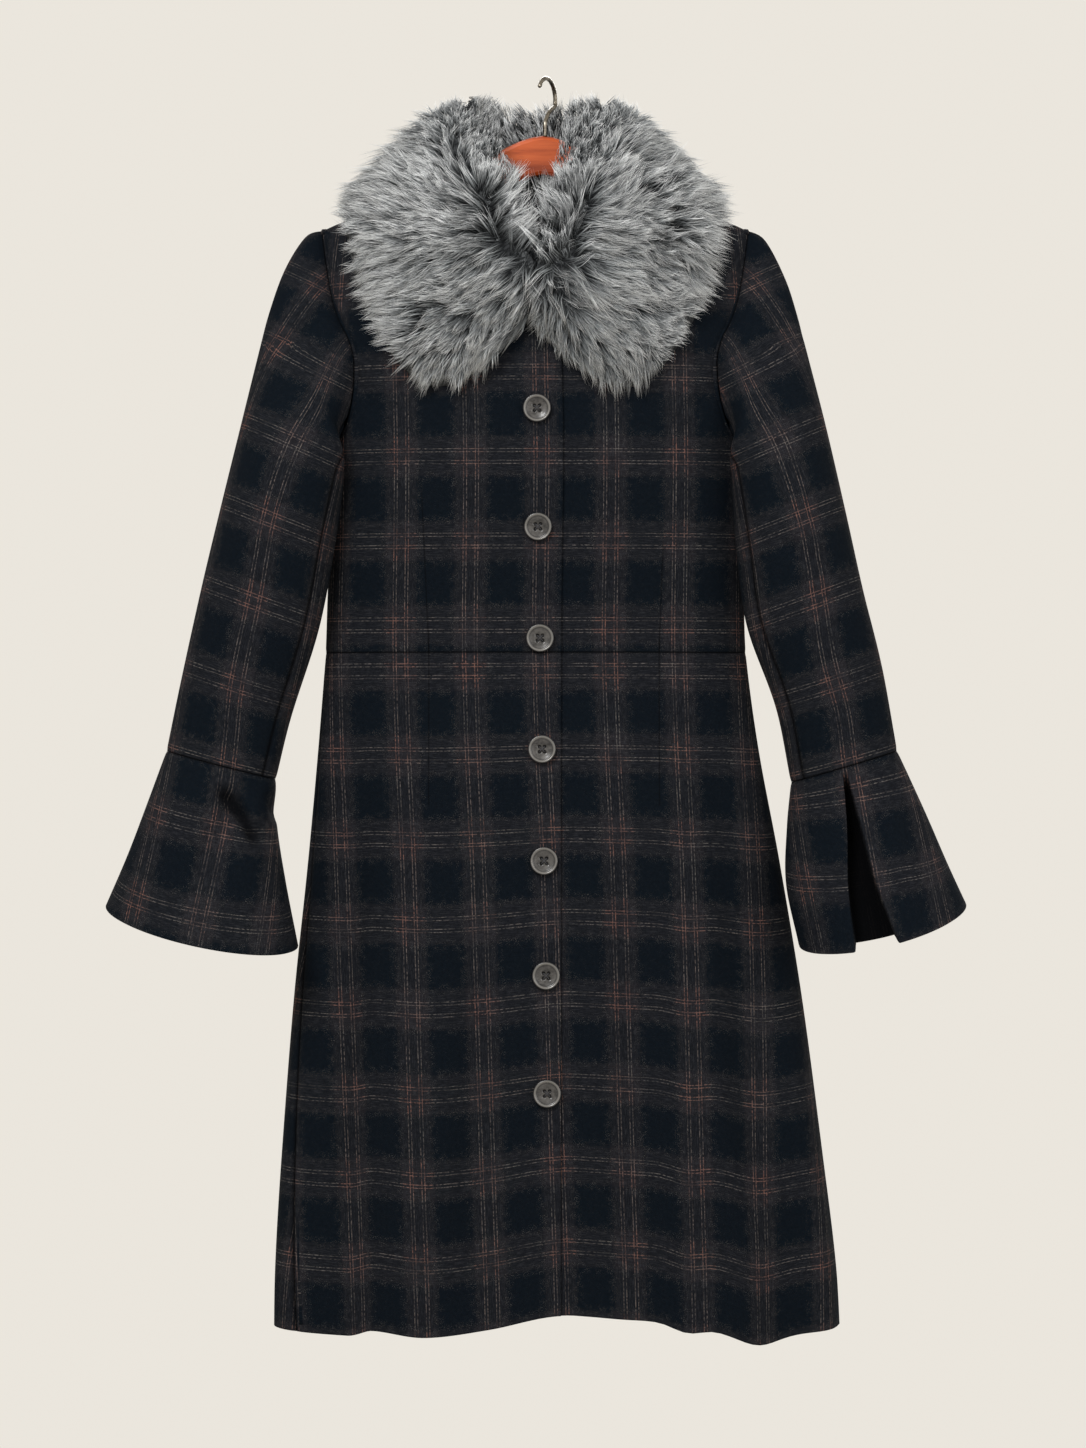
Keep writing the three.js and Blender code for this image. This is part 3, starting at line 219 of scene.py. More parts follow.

# Creases pressed or hung into the cloth, on every piece whose name holds the first word:
# a line from (x, z) to (x, z), its half width, how far out and how soft its ends are
CREASES = (
    ("right_bodice_front", -110.7, -391, -105.3, -515, 3.0, -1.2, 0.05),
    ("left_bodice_front", 102.6, -439, 99.9, -515, 3.0, -1.2, 0.05),
    ("right_skirt_front", -105.3, -515, -105.3, -650, 3.0, -1.0, 0.05),
    ("left_skirt_front", 99.9, -515, 99.9, -650, 3.0, -1.0, 0.05),
    ("right_cuff", -286, -638, -253, -682, 6.5, -8.5, 0.2),
    ("right_cuff", -274, -638, -256, -664, 7.0, 2.5, 0.3),
    ("right_cuff", -247, -640, -240, -664, 4.0, -2.5, 0.3),
    ("left_cuff", 300, -650, 318, -740, 9.0, 2.5, 0.3),
    ("right_top_sleeve", -266, -432, -222, -412, 7.0, -2.0, 0.3),
    ("right_top_sleeve", -274, -462, -232, -450, 6.0, -1.6, 0.3),
    ("right_top_sleeve", -262, -400, -214, -372, 8.0, -1.6, 0.3),
    ("right_top_sleeve", -240, -240, -206, -210, 9.0, -2.0, 0.3),
    ("right_under_sleeve", -222, -430, -206, -405, 7.0, -1.6, 0.3),
    ("left_top_sleeve", 246, -436, 204, -415, 7.0, -2.0, 0.3),
    ("left_top_sleeve", 254, -468, 212, -455, 6.0, -1.6, 0.3),
    ("left_top_sleeve", 240, -398, 196, -372, 8.0, -1.6, 0.3),
    ("left_top_sleeve", 222, -236, 186, -206, 9.0, -2.0, 0.3),
    ("bodice", -186, -250, -150, -300, 9.0, -1.8, 0.3),
    ("bodice", 166, -250, 132, -300, 9.0, -1.8, 0.3),
    ("skirt", -150, -516, -152, -560, 5.0, -1.0, 0.4),
    ("skirt", -58, -516, -57, -550, 5.0, -0.9, 0.4),
    ("skirt", 52, -516, 51, -552, 5.0, -0.9, 0.4),
    ("skirt", 142, -516, 145, -562, 5.0, -1.0, 0.4),
    ("skirt", -160, -640, -186, -1010, 16.0, -2.4, 0.3),
    ("skirt", -72, -760, -80, -1090, 17.0, -2.2, 0.3),
    ("skirt", 60, -700, 66, -1040, 16.0, -2.0, 0.3),
    ("skirt", 150, -640, 176, -1010, 17.0, -2.4, 0.3),
)

# Darts on the fronts: thin seams from (x, z) up to (x, z), drawn as painted shade lines. A
# dart's line has a dark middle and soft sides, and fades at its foot and its point
DART_HALF, DART_SIDE = 0.2, 1.1
DART_FOOT, DART_POINT = 4.0, 40.0
# how much painted shade a dart's line has
DART_SHADE = 0.5
FRONT_Y = -0.006               # in metres: darts show on the front alone
DARTS = (
    (-105.3, -515, -110.7, -391),
    (-105.3, -650, -105.3, -515),
    (99.9, -515, 102.6, -439),
    (99.9, -650, 99.9, -515),
)

# Grain lines of the sleeves and cuffs: x at heights
RIGHT_GRAIN = table("z x", (
    (-207, -190),
    (-266, -208),
    (-333, -226),
    (-396, -241),
    (-464, -253),
    (-546, -270),
    (-594, -275),
    (-648, -282),
    (-759, -304),
))
LEFT_GRAIN = table("z x", (
    (-203, 178),
    (-256, 198),
    (-333, 216),
    (-411, 234),
    (-464, 243),
    (-522, 252),
    (-571, 265),
    (-621, 272),
    (-759, 296),
))

# Plaid, in metres, and its colours
REPEAT_U, REPEAT_V = 0.0625, 0.0748
PHASE_U, PHASE_V = 0.004, 0.0425
BAND_HALF_U, BAND_HALF_V = 14.5, 18.0   # half a band's width, in millimetres
PLAID_FRAY = 19.0              # how far the yarns carry a band's edge, in millimetres
LINE_PLACES = (3.9, 6.6)       # the lines' distances from a band's middle, in millimetres
BAND_SOFT = 1.5                # how soft a band's edge is
LINE_HALF = (0.12, 0.55)       # half a line's width, from its full colour to none
EDGE_HALF = (1.0, 7.0)         # the same of a band's edge, where pale specks lie
LOWER_FRONT_SHIFT = 0.5        # how far the lower front's plaid is out of line
SKIRT_LENGTH = 603.0
SKIRT_PLAID_START = 25.8       # the plaid's place at the waist seam
SLEEVE_DROOP = ((135.0, 602.0), (27.0, 15.0))   # levels, and the plaid's slope there
SLEEVE_GRAIN = 1.04            # how much longer the plaid runs down a sleeve
SLEEVE_FRONT_LINE = 90.0       # the turn of a sleeve's front
CUFF_SHIFT = 36.0              # how far the right cuff's plaid is out of line with its sleeve
SLEEVE_LENGTH, CUFF_LENGTH = 620.0, 155.0


def rgb(red, green, blue):
    """A linear colour from values of 0 to 255 as a picture has them."""
    return tuple((value / 255) ** 2.2 for value in (red, green, blue)) + (1.0,)


NAVY, CHARCOAL, CROSSING = rgb(15, 21, 27), rgb(24, 26, 30), rgb(33, 32, 35)
SLUB, LINE, RUST = rgb(50, 51, 55), rgb(122, 118, 114), rgb(126, 70, 52)
# Dark colour for painted shade at seams, darts, creases and inside the pleat, also used for the
# wool's own mottle
SHADE_AND_MOTTLE = rgb(4, 5, 8)
FUR_ROOT, FUR_MIDDLE, FUR_TIP = rgb(28, 31, 34), rgb(126, 130, 132), rgb(246, 248, 249)
# The hole colour is painted shade in a button's holes, its groove and its side
BLACK, HOLE_SHADE = (0.0, 0.0, 0.0, 1.0), (0.004, 0.004, 0.005, 1.0)
THREAD_DARK, THREAD_PALE = (0.006, 0.006, 0.008, 1.0), (0.03, 0.03, 0.035, 1.0)
# The rim colour is a painted highlight on the top of a button's rim
HORN_DARK, HORN, HORN_RIM_HIGHLIGHT = rgb(22, 21, 21), rgb(66, 64, 62), rgb(90, 88, 85)
WOOD_DARK, WOOD, WOOD_LIGHT = rgb(116, 46, 20), rgb(166, 75, 34), rgb(186, 97, 50)
WIRE_DARK, WIRE = rgb(92, 86, 77), rgb(124, 118, 108)
BACKDROP, FLOOR_PALE, FLOOR_SHADE = rgb(234, 229, 220), rgb(200, 195, 186), rgb(190, 185, 176)

# Collar
COLLAR_LIFT = 1.1              # space under the collar
RIDGE_LIFT = 1.8               # more of it over the round ridge
RIDGE_ROUND = 40.0             # how far round the ridge that reaches, in degrees
COLLAR_ARCH = 0.55             # how round the collar's arch is: less is flatter
COLLAR_HEART = np.array([CENTRE_X, 0.0, -230.0])
PELT_CROWN = 0.5               # the pelt's part of the collar's height, with the fur on top
PELT_REACH = (0.07, 0.90)      # and its part of the collar's width

# Buttons
BUTTON_AROUND = 72             # points round it
DISH_RADII = np.array([0, 0.4, 0.8, 1.2, 1.6, 2, 2.4, 2.8, 3.2, 3.7, 4.3, 5.2, 6.2, 7.2, 8, 8.6, 9.2])
RIM = table("radius high", (
    (9.6, 3.1),
    (10.0, 3.5),
    (10.5, 3.9),
    (11.0, 4.15),
    (11.4, 4.2),
    (11.8, 4.1),
    (12.1, 3.9),
    (12.35, 3.5),
    (12.5, 3.0),
    (12.5, 1.6),
    (12.2, 0.7),
    (11.7, 0.1),
    (9.0, 0.0),
    (4.0, 0.0),
    (0.0, 0.0),
))
BUTTON_SEAT = 0.8              # space under a flat button on the round front
BUTTON_DISH = 2.8              # height of the dish over the back
DISH_LOW, DISH_RISE = 0.9, 1.2   # how much lower its middle is, and how far its sides rise
HOLE_OFF, HOLE_R, HOLE_DEEP = 2.2, 1.35, 1.5
# Its rim's top, paler as a painted highlight, the groove inside that and the side outside, darker
# with painted shade: radii, runs and heights
PALE_IN, PALE_OUT, PALE_LOW = (9.6, 0.6), (-11.9, 0.5), 2.5
GROOVE_R, GROOVE_HALF = 9.3, 0.5
SIDE_IN, SIDE_LOW = (11.5, 0.4), 1.0
GROOVE_SHADE = 0.8              # how much painted shade the groove and the side get
THREAD_R, THREAD_ARCH = 0.5, 0.5
THREAD_DOWN = 0.9              # how far its ends go down into the holes

# Hanger and hook
HANGER_TOP_Z = -50.0
WIRE_R = 2.0
HOOK_R = 16.0
HOOK_TURN = 65.0
STEM_OFFSET = -4.0
HOOK_START, HOOK_END = -15.0, 155.0
STEM = table("x z", ((0, -1), (0, 12), (8, 22)))   # from the yoke's top to the bend
HOOK_TIP = (0.95, 0.8, 0.45)   # the wire's last rings, as parts of its thickness

# Camera and floor, in metres, and the floor's radius and height in millimetres
CAMERA_BACK = 3.6
FRAME_HIGH = 1.3032
FRAME_X, FRAME_Z = -0.0036, -0.579
FLOOR_R, FLOOR_Z = 2600.0, -2150.0
FLOOR_FADE = (0.35, 0.95)      # where it turns see-through, as parts of its radius

# Lights: name, place, aim, size and power, in metres and watts
LIGHTS = (
    ("key", (-1.2, -2.7, 1.5), (0, 0, -0.5), 1.3, 118.0),
    ("fill", (2.2, -2.2, 0.2), (0, 0, -0.6), 2.0, 42.0),
    ("back", (0.3, 2.6, 1.0), (0, 0, -0.5), 2.0, 90.0),
)

# Fur
FUR_LOCKS = 1500               # locks of each of the two layers on a side of the collar
NECK_LOCKS = 600               # and on its side at the neck
HAIRS_IN_LOCK = 9
FUR_LENGTH = 34.0
FUR_TOP_Z = -21.0              # above this level it is pressed down
FUR_RISE = 0.45                # how steeply it leaves the pelt
UPWARDS = np.array([0.0, -0.15, 1.0])
KNOTS = table("x z radius", ((-1, -172, 20), (108, -138, 15)))   # where the fur curls
LOCK_SPREAD, TIP_SPREAD = 3.0, 1.6
HAIR_R = (0.2, 0.38)
HAIR_LENGTH = (0.7, 1.06)      # of a hair, as parts of its lock's
LENGTH_SPREAD = 3.0            # of the locks, in millimetres
TOP_PRESSED = 0.7              # how much of what stands above FUR_TOP_Z goes
NECK_RISE, NECK_LEAN = 0.35, 0.3   # the rise at the neck's side, and how it leans out there
BEND = 0.24                    # how far hairs bend to the pelt
BEND_DRIFT, WAY_DRIFT = 0.09, 0.12   # how far waves over the collar turn bends and hairs
TONE, TONE_SPREAD, HAIR_TONE = 0.74, 0.22, 0.17   # a lock's tone, its spread and its hairs'
HOLLOW_TONE, NECK_TONE = 0.8, 0.3   # how much darker the fur is in a hollow and at the neck
HOLLOW_RISE, HOLLOW_SHORT = 0.5, 0.25   # how much steeper and shorter it is in a hollow
RIM_SHORT, EDGE_SHORT = 0.65, 0.15   # how much shorter at the neck's rim and the edge
WILD_WAY, WILD_BEND = (0.1, 0.6), (0.09, 0.4)   # disorder of the fur, and in a knot
WAVES, SMALL_WAVE = (17.0, 7.0), 0.6   # of the drift: their lengths, and the short one's part
WAY_PART = 0.9

# Where the fur changes: a start, and the run over which it does
FUR_FRONT = (-4.0, 24.0)       # forwards, from the fur behind to that of the front
TURN_UP = (0.1, 0.25)          # over the collar's width, behind: turned up, then flat
RIM_PART, RIM_LEVEL = (0.1, 0.15), (-108.0, 18.0)   # the neck's rim, over the width and up
NECK_LEVEL, NECK_FRONT = (-125.0, 20.0), (-10.0, 20.0)   # the same at the neck's side
EDGE_PART = (0.75, 0.2)        # the collar's edge

# The way the fur lies at places on the front of the collar
FUR_FLOW = table("x z goX goZ", (
    (-78, -22, -0.2, 1),
    (-56, -18, 0.1, 1),
    (-105, -45, -0.7, 0.7),
    (-141, -64, -0.9, 0.4),
    (-177, -99, -1, 0.1),
    (-182, -135, -1, -0.1),
    (-132, -108, -1, 0.2),
    (-105, -81, -0.8, 0.5),
    (-86, -103, -0.8, 0.4),
    (-76, -127, -1, 0.1),
    (-114, -162, -1, 0),
    (-159, -189, -1, -0.2),
    (-132, -220, -0.9, -0.4),
    (-96, -189, -1, -0.15),
    (-60, -184, -0.9, -0.3),
    (-71, -148, -1, -0.05),
    (-38, -184, -0.8, -0.6),
    (-87, -234, -0.75, -0.65),
    (-114, -261, -0.6, -0.8),
    (-87, -277, -0.3, -1),
    (-60, -252, -0.4, -0.9),
    (-42, -235, -0.4, -0.9),
    (-24, -214, -0.3, -0.95),
    (-15, -189, -0.5, -0.85),
    (-62, -54, 0.1, 1),
    (-51, -85, 0.05, 1),
    (-42, -63, 0.1, 1),
    (-33, -108, 0.95, 0.3),
    (-24, -130, 0.95, 0.2),
    (-14, -148, 0.5, 0.6),
    (34, -27, 0.1, 1),
    (52, -28, 0.2, 1),
    (70, -54, 0.7, 0.6),
    (94, -72, 0.9, 0.4),
    (129, -91, 1, 0.1),
    (148, -112, 1, -0.1),
    (52, -103, 0.8, 0.5),
    (76, -99, 0.9, 0.3),
    (48, -144, 1, 0.1),
    (84, -126, 1, 0),
    (66, -171, 1, -0.1),
    (52, -190, 0.95, -0.25),
    (93, -189, 1, -0.15),
    (129, -171, 0.9, -0.45),
    (142, -144, 0.8, -0.5),
    (88, -225, 0.8, -0.5),
    (48, -225, 0.6, -0.8),
    (70, -261, 0.5, -0.85),
    (50, -274, 0, -1),
    (28, -244, 0.1, -1),
    (12, -229, -0.1, -1),
    (-2, -214, -0.4, -0.9),
    (19, -198, 0.4, -0.7),
    (39, -58, 0.2, 1),
    (17, -99, -0.5, 0.85),
    (14, -63, 0.2, 1),
    (3, -129, -0.95, 0.2),
    (-2, -148, -0.5, 0.7),
    (8, -109, -0.95, 0.3),
))
FLOW_WIDTH = 13.0

# Hollows where the fur parts and its dark roots show
HOLLOWS = table("x z radius dark", (
    (-80, -81, 7.2, 0.5),
    (-71, -99, 8.1, 0.6),
    (-60, -121, 8.1, 0.6),
    (-53, -144, 9.9, 0.9),
    (-50, -160, 8.1, 0.9),
    (34, -76, 8.1, 0.5),
    (28, -103, 8.1, 0.6),
    (24, -119, 8.1, 0.8),
    (19, -136, 9, 0.9),
    (12, -150, 9.9, 1),
    (-6, -172, 8.1, 0.7),
    (8, -183, 7.2, 0.8),
    (-23, -174, 7.2, 0.6),
    (17, -206, 9, 0.8),
    (104, -137, 9, 0.8),
    (91, -149, 7.2, 0.5),
    (111, -163, 8.1, 0.6),
    (84, -82, 6.3, 0.4),
    (57, -163, 6.3, 0.4),
    (-42, -194, 6.3, 0.4),
))
FAN = 0.7                      # how much the fur fans out from a hollow


# Small mathematics


def mix(low, high, part):
    """From low to high by a part of the way."""
    return low + (high - low) * part


def smooth(value):
    """0 up to 0 and 1 from 1, with a soft S between: t * t * (3 - 2 t)."""
    value = np.clip(value, 0.0, 1.0)
    return value * value * (3 - 2 * value)


def past(value, start, run):
    """0 up to a start and 1 from a run further on, with a soft S between."""
    return smooth((value - start) / run)


def hill(distance, width):
    """A bell of height 1: exp(-(distance / width) squared)."""
    return np.exp(-((distance / width) ** 2))


def joined(*columns):
    """Points from their x, y and z, spread to one shape."""
    return np.stack(np.broadcast_arrays(*columns), axis=-1)


def unit(vectors):
    """The vectors made one long."""
    return vectors / np.maximum(np.linalg.norm(vectors, axis=-1, keepdims=True), 1e-9)


def facing(vectors, away):
    """The vectors, each turned round where it points against the way away."""
    against = (vectors * away).sum(axis=-1) < 0
    return vectors * np.where(against, -1, 1)[..., None]


def column(rows, key, place, name):
    """A column of a table at a place between its rows: a cubic between two rows whose slopes
    are those of the lines between each row's neighbours."""
    keys, values = rows[key], rows[name]
    if keys[-1] < keys[0]:
        keys, values = keys[::-1], values[::-1]
    last = len(keys) - 1
    before = np.maximum(np.arange(last + 1) - 1, 0)
    after = np.minimum(np.arange(last + 1) + 1, last)
    slopes = (values[after] - values[before]) / (keys[after] - keys[before])
    place = np.asarray(place, float)
    row = np.clip(np.searchsorted(keys, place, side="right") - 1, 0, last - 1)
    step = keys[row + 1] - keys[row]
    t = np.clip((place - keys[row]) / step, 0, 1)
    here, there = slopes[row] * step, slopes[row + 1] * step
    rise = values[row + 1] - values[row]
    bent = 3 * rise - 2 * here - there + t * (here + there - 2 * rise)
    return values[row] + t * (here + t * bent)


def columns_at(rows, place, names, key="at"):
    """Several columns of a table at a place."""
    return [column(rows, key, place, name) for name in names.split()]


def length_to(surface, start, end, samples=40):
    """Length of the line on a surface while its parameter goes from start to end, as a sum of
    short chords. It is negative where end is below start."""
    parts = np.linspace(0, 1, samples).reshape((-1,) + (1,) * np.ndim(end))
    points = surface(mix(start, end, parts))
    chords = np.linalg.norm(np.diff(points, axis=0), axis=-1).sum(axis=0)
    return chords * np.sign(end - start)


# Body surface


def plan_at(z):
    """Middle, half width, front depth and back depth of the body's plan at a height."""
    left, right, front, back = columns_at(SILHOUETTE, z, "left right front back", "z")
    return (left + right) / 2, (right - left) / 2, front, back


def superellipse(turn, power):
    """Radius of a unit superellipse: (|cos|^p + |sin|^p)^(-1/p)."""
    return (np.abs(np.cos(turn)) ** power + np.abs(np.sin(turn)) ** power) ** (-1 / power)


def angle_of(part):
    """Angle round the body of a point that lies a part of the half width from the middle."""
    q = np.minimum(np.abs(part), 0.9999) ** PLAN_POWER
    return np.sign(part) * np.degrees(np.arctan((q / (1 - q)) ** (1 / PLAN_POWER)))


def ridge_z(x):
    """Height of the shoulder ridge over a place across the coat."""
    return NECK_POINT_Z + SHOULDER_SLOPE * (NECK_HALF - np.abs(x - CENTRE_X))


def bodice_point(angle, rise):
    """A point of the bodice: a superellipse plan at the chest, drawn in over the shoulders by
    a superellipse arc. The angle is 0 at the centre front, 90 at the wearer's left side and
    180 at the back. The rise is in millimetres below the chest, where it is negative, and in
    degrees of the roof's arc above it."""
    angle, rise = np.broadcast_arrays(np.asarray(angle, float), np.asarray(rise, float))
    turn = np.radians(angle)
    radius = superellipse(turn, PLAN_POWER)
    arc = np.radians(np.maximum(rise, 0))
    roof = superellipse(arc, ROOF_POWER)
    middle, half, _, _ = plan_at(CHEST_Z + np.minimum(rise, 0))
    x = middle + half * radius * np.sin(turn)
    z = np.where(rise <= 0, CHEST_Z + rise, CHEST_Z + (ridge_z(x) - CHEST_Z) * roof * np.sin(arc))
    _, _, front, back = plan_at(z)
    depth = np.where(np.cos(turn) > 0, front, back)
    return joined(x, -depth * radius * np.cos(turn) * roof * np.cos(arc), z)


def over_ridge(x, turn):
    """The bodice's surface from a place across the coat and a turn over the ridge, which is
    positive on the front."""
    x, turn = np.broadcast_arrays(np.asarray(x, float), np.asarray(turn, float))
    rise = (RIDGE - np.abs(turn)) * np.where(np.abs(turn) < RIDGE, 1, 2)
    middle, half, _, _ = plan_at(CHEST_Z + np.minimum(rise, 0))
    angle = angle_of((x - middle) / half)
    return bodice_point(np.where(turn < 0, 180 - angle, angle), rise)


def top_rise(x, neck):
    """Rise of the neckline's edge over a place across the coat: a superellipse."""
    lowest, power = neck
    part = np.minimum(np.abs(x - CENTRE_X) / NECK_HALF, 1)
    return RIDGE - (RIDGE - lowest) * (1 - part**power) ** (1 / power)


def hem_z(angle, x):
    """Height of the hem: the front's own line, turning into a level one at the back."""
    front = column(FRONT_HEM, "x", np.clip(x, -250, 262), "z")
    return mix(front, BACK_HEM_Z, smooth((np.abs(angle) - 70) / 35))


def fold_out(angle, drop):
    """How far the skirt's soft folds stand out: bells across the angle that grow to the hem."""
    out = 0.0
    folds = zip(*(SKIRT_FOLDS[name] for name in ("angle", "half", "out", "from")))
    for middle, half, high, start in folds:
        side = (angle - middle + 180) % 360 - 180
        out = out + high * hill(side, half) * smooth((drop - start) / (1 - start))
    return out


def skirt_point(angle, drop):
    """A point of the skirt, from 0 at the waist to 1 at the hem: the plan's superellipse, moved
    out by the folds."""
    angle, drop = np.broadcast_arrays(np.asarray(angle, float), np.asarray(drop, float))
    turn = np.radians(angle)
    radius = superellipse(turn, PLAN_POWER)
    middle, half, _, _ = plan_at(mix(WAIST_Z, BACK_HEM_Z, drop))
    hem = hem_z(np.where(angle > 180, angle - 360, angle), middle + half * radius * np.sin(turn))
    z = mix(WAIST_Z, hem, drop)
    middle, half, front, back = plan_at(z)
    depth = np.where(np.cos(turn) > 0, front, back)
    away = unit(joined(np.sin(turn) / half, -np.cos(turn) / depth, 0.0))
    point = joined(middle + half * radius * np.sin(turn), -depth * radius * np.cos(turn), z)
    return point + away * fold_out(angle, drop)[..., None]


# Cloth pieces


def put_mesh(name, points, faces, finish, uv=None, marks=None):
    """A mesh object of points in millimetres and faces of three or four corners, with a UV
    place and marks (named numbers) at each point."""
    mesh = bpy.data.meshes.new(name)
    mesh.from_pydata((np.asarray(points) * MM).tolist(), [], faces)
    if uv is not None:
        corners = np.empty(len(mesh.loops), np.int32)
        mesh.loops.foreach_get("vertex_index", corners)
        mesh.uv_layers.new(name="cut").data.foreach_set("uv", (uv[corners] * MM).ravel())
    for mark, values in (marks or {}).items():
        mesh.attributes.new(mark, "FLOAT", "POINT").data.foreach_set("value", values)
    mesh.polygons.foreach_set("use_smooth", np.full(len(mesh.polygons), True))
    mesh.materials.append(finish)
    piece = bpy.data.objects.new(name, mesh)
    bpy.context.scene.collection.objects.link(piece)
    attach(piece, "root")
    return piece


def grid_normals(points):
    """Directions square to a grid of points: the cross product of its two slopes."""
    down = np.gradient(points, axis=0)
    across = np.gradient(points, axis=1)
    return unit(np.cross(across, down))


def grid_faces(rows, columns, first=0, wraps=False):
    """Four-cornered faces over a grid of points that starts at a place in the list."""
    i, j = np.meshgrid(np.arange(rows - 1), np.arange(columns - (0 if wraps else 1)), indexing="ij")
    k = (j + 1) % columns
    corners = (i * columns + j, (i + 1) * columns + j, (i + 1) * columns + k, i * columns + k)
    return first + np.stack(corners, axis=-1).reshape(-1, 4)


def border(rows, columns):
    """Places of a grid's border points, in order round it."""
    place = np.arange(rows * columns).reshape(rows, columns)
    sides = (place[0, :-1], place[:-1, -1], place[-1, :0:-1], place[:0:-1, 0])
    return np.concatenate(sides)


def edge_distance(points):
    """Distance of each grid point along the grid's lines to the first row, the last row, the
    first column and the last column."""
    down = np.linalg.norm(np.diff(points, axis=0), axis=-1)
    across = np.linalg.norm(np.diff(points, axis=1), axis=-1)
    from_top = np.vstack([np.zeros((1, points.shape[1])), np.cumsum(down, axis=0)])
    from_left = np.hstack([np.zeros((points.shape[0], 1)), np.cumsum(across, axis=1)])
    return from_top, from_top[-1:] - from_top, from_left, from_left[:, -1:] - from_left


def near(points, crease):
    """A crease's depth at points: a groove or ridge along a line from (x, z) to (x, z), a bell
    across it that fades towards both its ends."""
    start = np.array([crease["x0"], crease["z0"]])
    along = np.array([crease["x1"], crease["z1"]]) - start
    place = points[..., [0, 2]] - start
    part = (place @ along) / (along @ along)
    off = np.linalg.norm(place - np.clip(part, 0, 1)[..., None] * along, axis=-1)
    soft = crease["soft"]
    ends = smooth((part + soft) / soft / 2) * smooth((1 + soft - part) / soft / 2)
    return crease["out"] * hill(off, crease["width"]) * ends


def creases_of(points, name):
    """How far the creases of a piece move each point of its grid out."""
    high = np.zeros(points.shape[:2])
    columns = ("x0", "z0", "x1", "z1", "width", "out", "soft")
    for piece, *values in CREASES:
        if piece in name:
            high += near(points, dict(zip(columns, values)))
    return high


def cloth(name, points, uv, heart, seams=(1, 1, 1, 1), deep=None):
    """A closed shell of cloth: the grid of outer points, moved by its creases, sunk a little
    at its sewn edges and rounded at them, and the same grid one cloth further in. heart is a
    point, or one for each grid point, that lies inside the coat. deep is painted shade inside a
    pleat, which light hardly reaches. The mark "deep" also takes a painted shade line along the
    join at each sewn edge and painted shade at the foot of a deep crease."""
    normals = grid_normals(points)
    normals = normals * np.sign(np.median((normals * (points - heart)).sum(axis=-1)))
    high = creases_of(points, name)
    points = points + normals * high[..., None]
    sunk = sum(depth * SEAM_DEPTH * hill(distance, SEAM_WIDTH)
               for depth, distance in zip(seams, edge_distance(points)))
    points = points - normals * sunk[..., None]
    inner = points - normals * CLOTH
    # Painted shade in a line along the join at each sewn edge, kept in the mark deep
    edges = zip(seams, edge_distance(points))
    join_shade = sum(smooth(depth * 3) * hill(distance, SEAM_LINE) for depth, distance in edges)
    deep = np.maximum(JOIN_SHADE * np.minimum(join_shade, 1), 0.0 if deep is None else deep)
    # Painted shade at the foot of a deep crease, kept in the mark deep
    deep = np.maximum(deep, CREASE_SHADE * smooth(-high / CREASE_DEEP))
    rows, columns = points.shape[:2]
    size = rows * columns
    ring = border(rows, columns)
    after = np.roll(ring, -1)
    faces = [
        grid_faces(rows, columns),
        grid_faces(rows, columns, size)[:, ::-1],
        np.stack([ring, after, after + size, ring + size], axis=-1),
    ]
    every = np.concatenate([points.reshape(-1, 3), inner.reshape(-1, 3)])
    faces = outwards_facing(every, np.concatenate(faces))
    marks = {"deep": np.tile(deep.ravel(), 2)}
    return put_mesh(name, every, faces.tolist(), PLAID, np.tile(uv.reshape(-1, 2), (2, 1)), marks)


def outwards_facing(points, faces):
    """The four-cornered faces, turned round if the solid that they close, or nearly close, has
    a negative volume about its middle."""
    points = points - points.mean(axis=0)
    a, b, c, d = (points[faces[:, corner]] for corner in range(4))
    volume = (np.cross(a, b) * c).sum() + (np.cross(a, c) * d).sum()
    return faces if volume > 0 else faces[:, ::-1]


def capped(points, first, last):
    """The points and faces of a grid that wraps round, closed by a point at each end."""
    rows, columns = points.shape[:2]
    every = np.concatenate([points.reshape(-1, 3), [first, last]])
    sides = grid_faces(rows, columns, wraps=True)
    turned = outwards_facing(every, sides) is not sides
    ring = np.arange(columns)
    after = np.roll(ring, -1)
    hub, foot = rows * columns, (rows - 1) * columns
    starts = np.stack([np.full(columns, hub), ring, after], axis=-1)
    ends = np.stack([np.full(columns, hub + 1), foot + after, foot + ring], axis=-1)
    faces = [part[:, ::-1] if turned else part for part in (sides, starts, ends)]
    return every, [face for part in faces for face in part.tolist()]


def tube(points, radius, around):
    """A round profile carried along a path: rings square to the path's direction, closed by a
    point at each end."""
    way = unit(np.gradient(points, axis=0))
    lead = unit(np.cross(way, [0.31, 0.92, 0.24]))
    third = np.cross(way, lead)
    turn = np.linspace(0, 2 * np.pi, around, endpoint=False)
    ring = lead[:, None] * np.cos(turn)[:, None] + third[:, None] * np.sin(turn)[:, None]
    rings = points[:, None] + ring * np.broadcast_to(radius, len(points))[:, None, None]
    return capped(rings, points[0], points[-1])


def close_ends(count, edge=(0.0, 0.25, 0.6)):
    """Places from 0 to 1 in even steps, with a few more close to both ends to round them."""
    inner = np.linspace(0, 1, count + 1)
    step = inner[1]
    low = np.array(edge) * step
    return np.concatenate([low, inner[1:-1], 1 - low[::-1]])


# Bodice


def angle_across(inner, turn, last, across):
    """Angle round the body at a part of the way across a panel, whose placket keeps its width."""
    placket = mix(inner, turn, across / PLACKET_PART)
    beyond = mix(turn, last, (across - PLACKET_PART) / (1 - PLACKET_PART))
    return np.where(across < PLACKET_PART, placket, beyond)


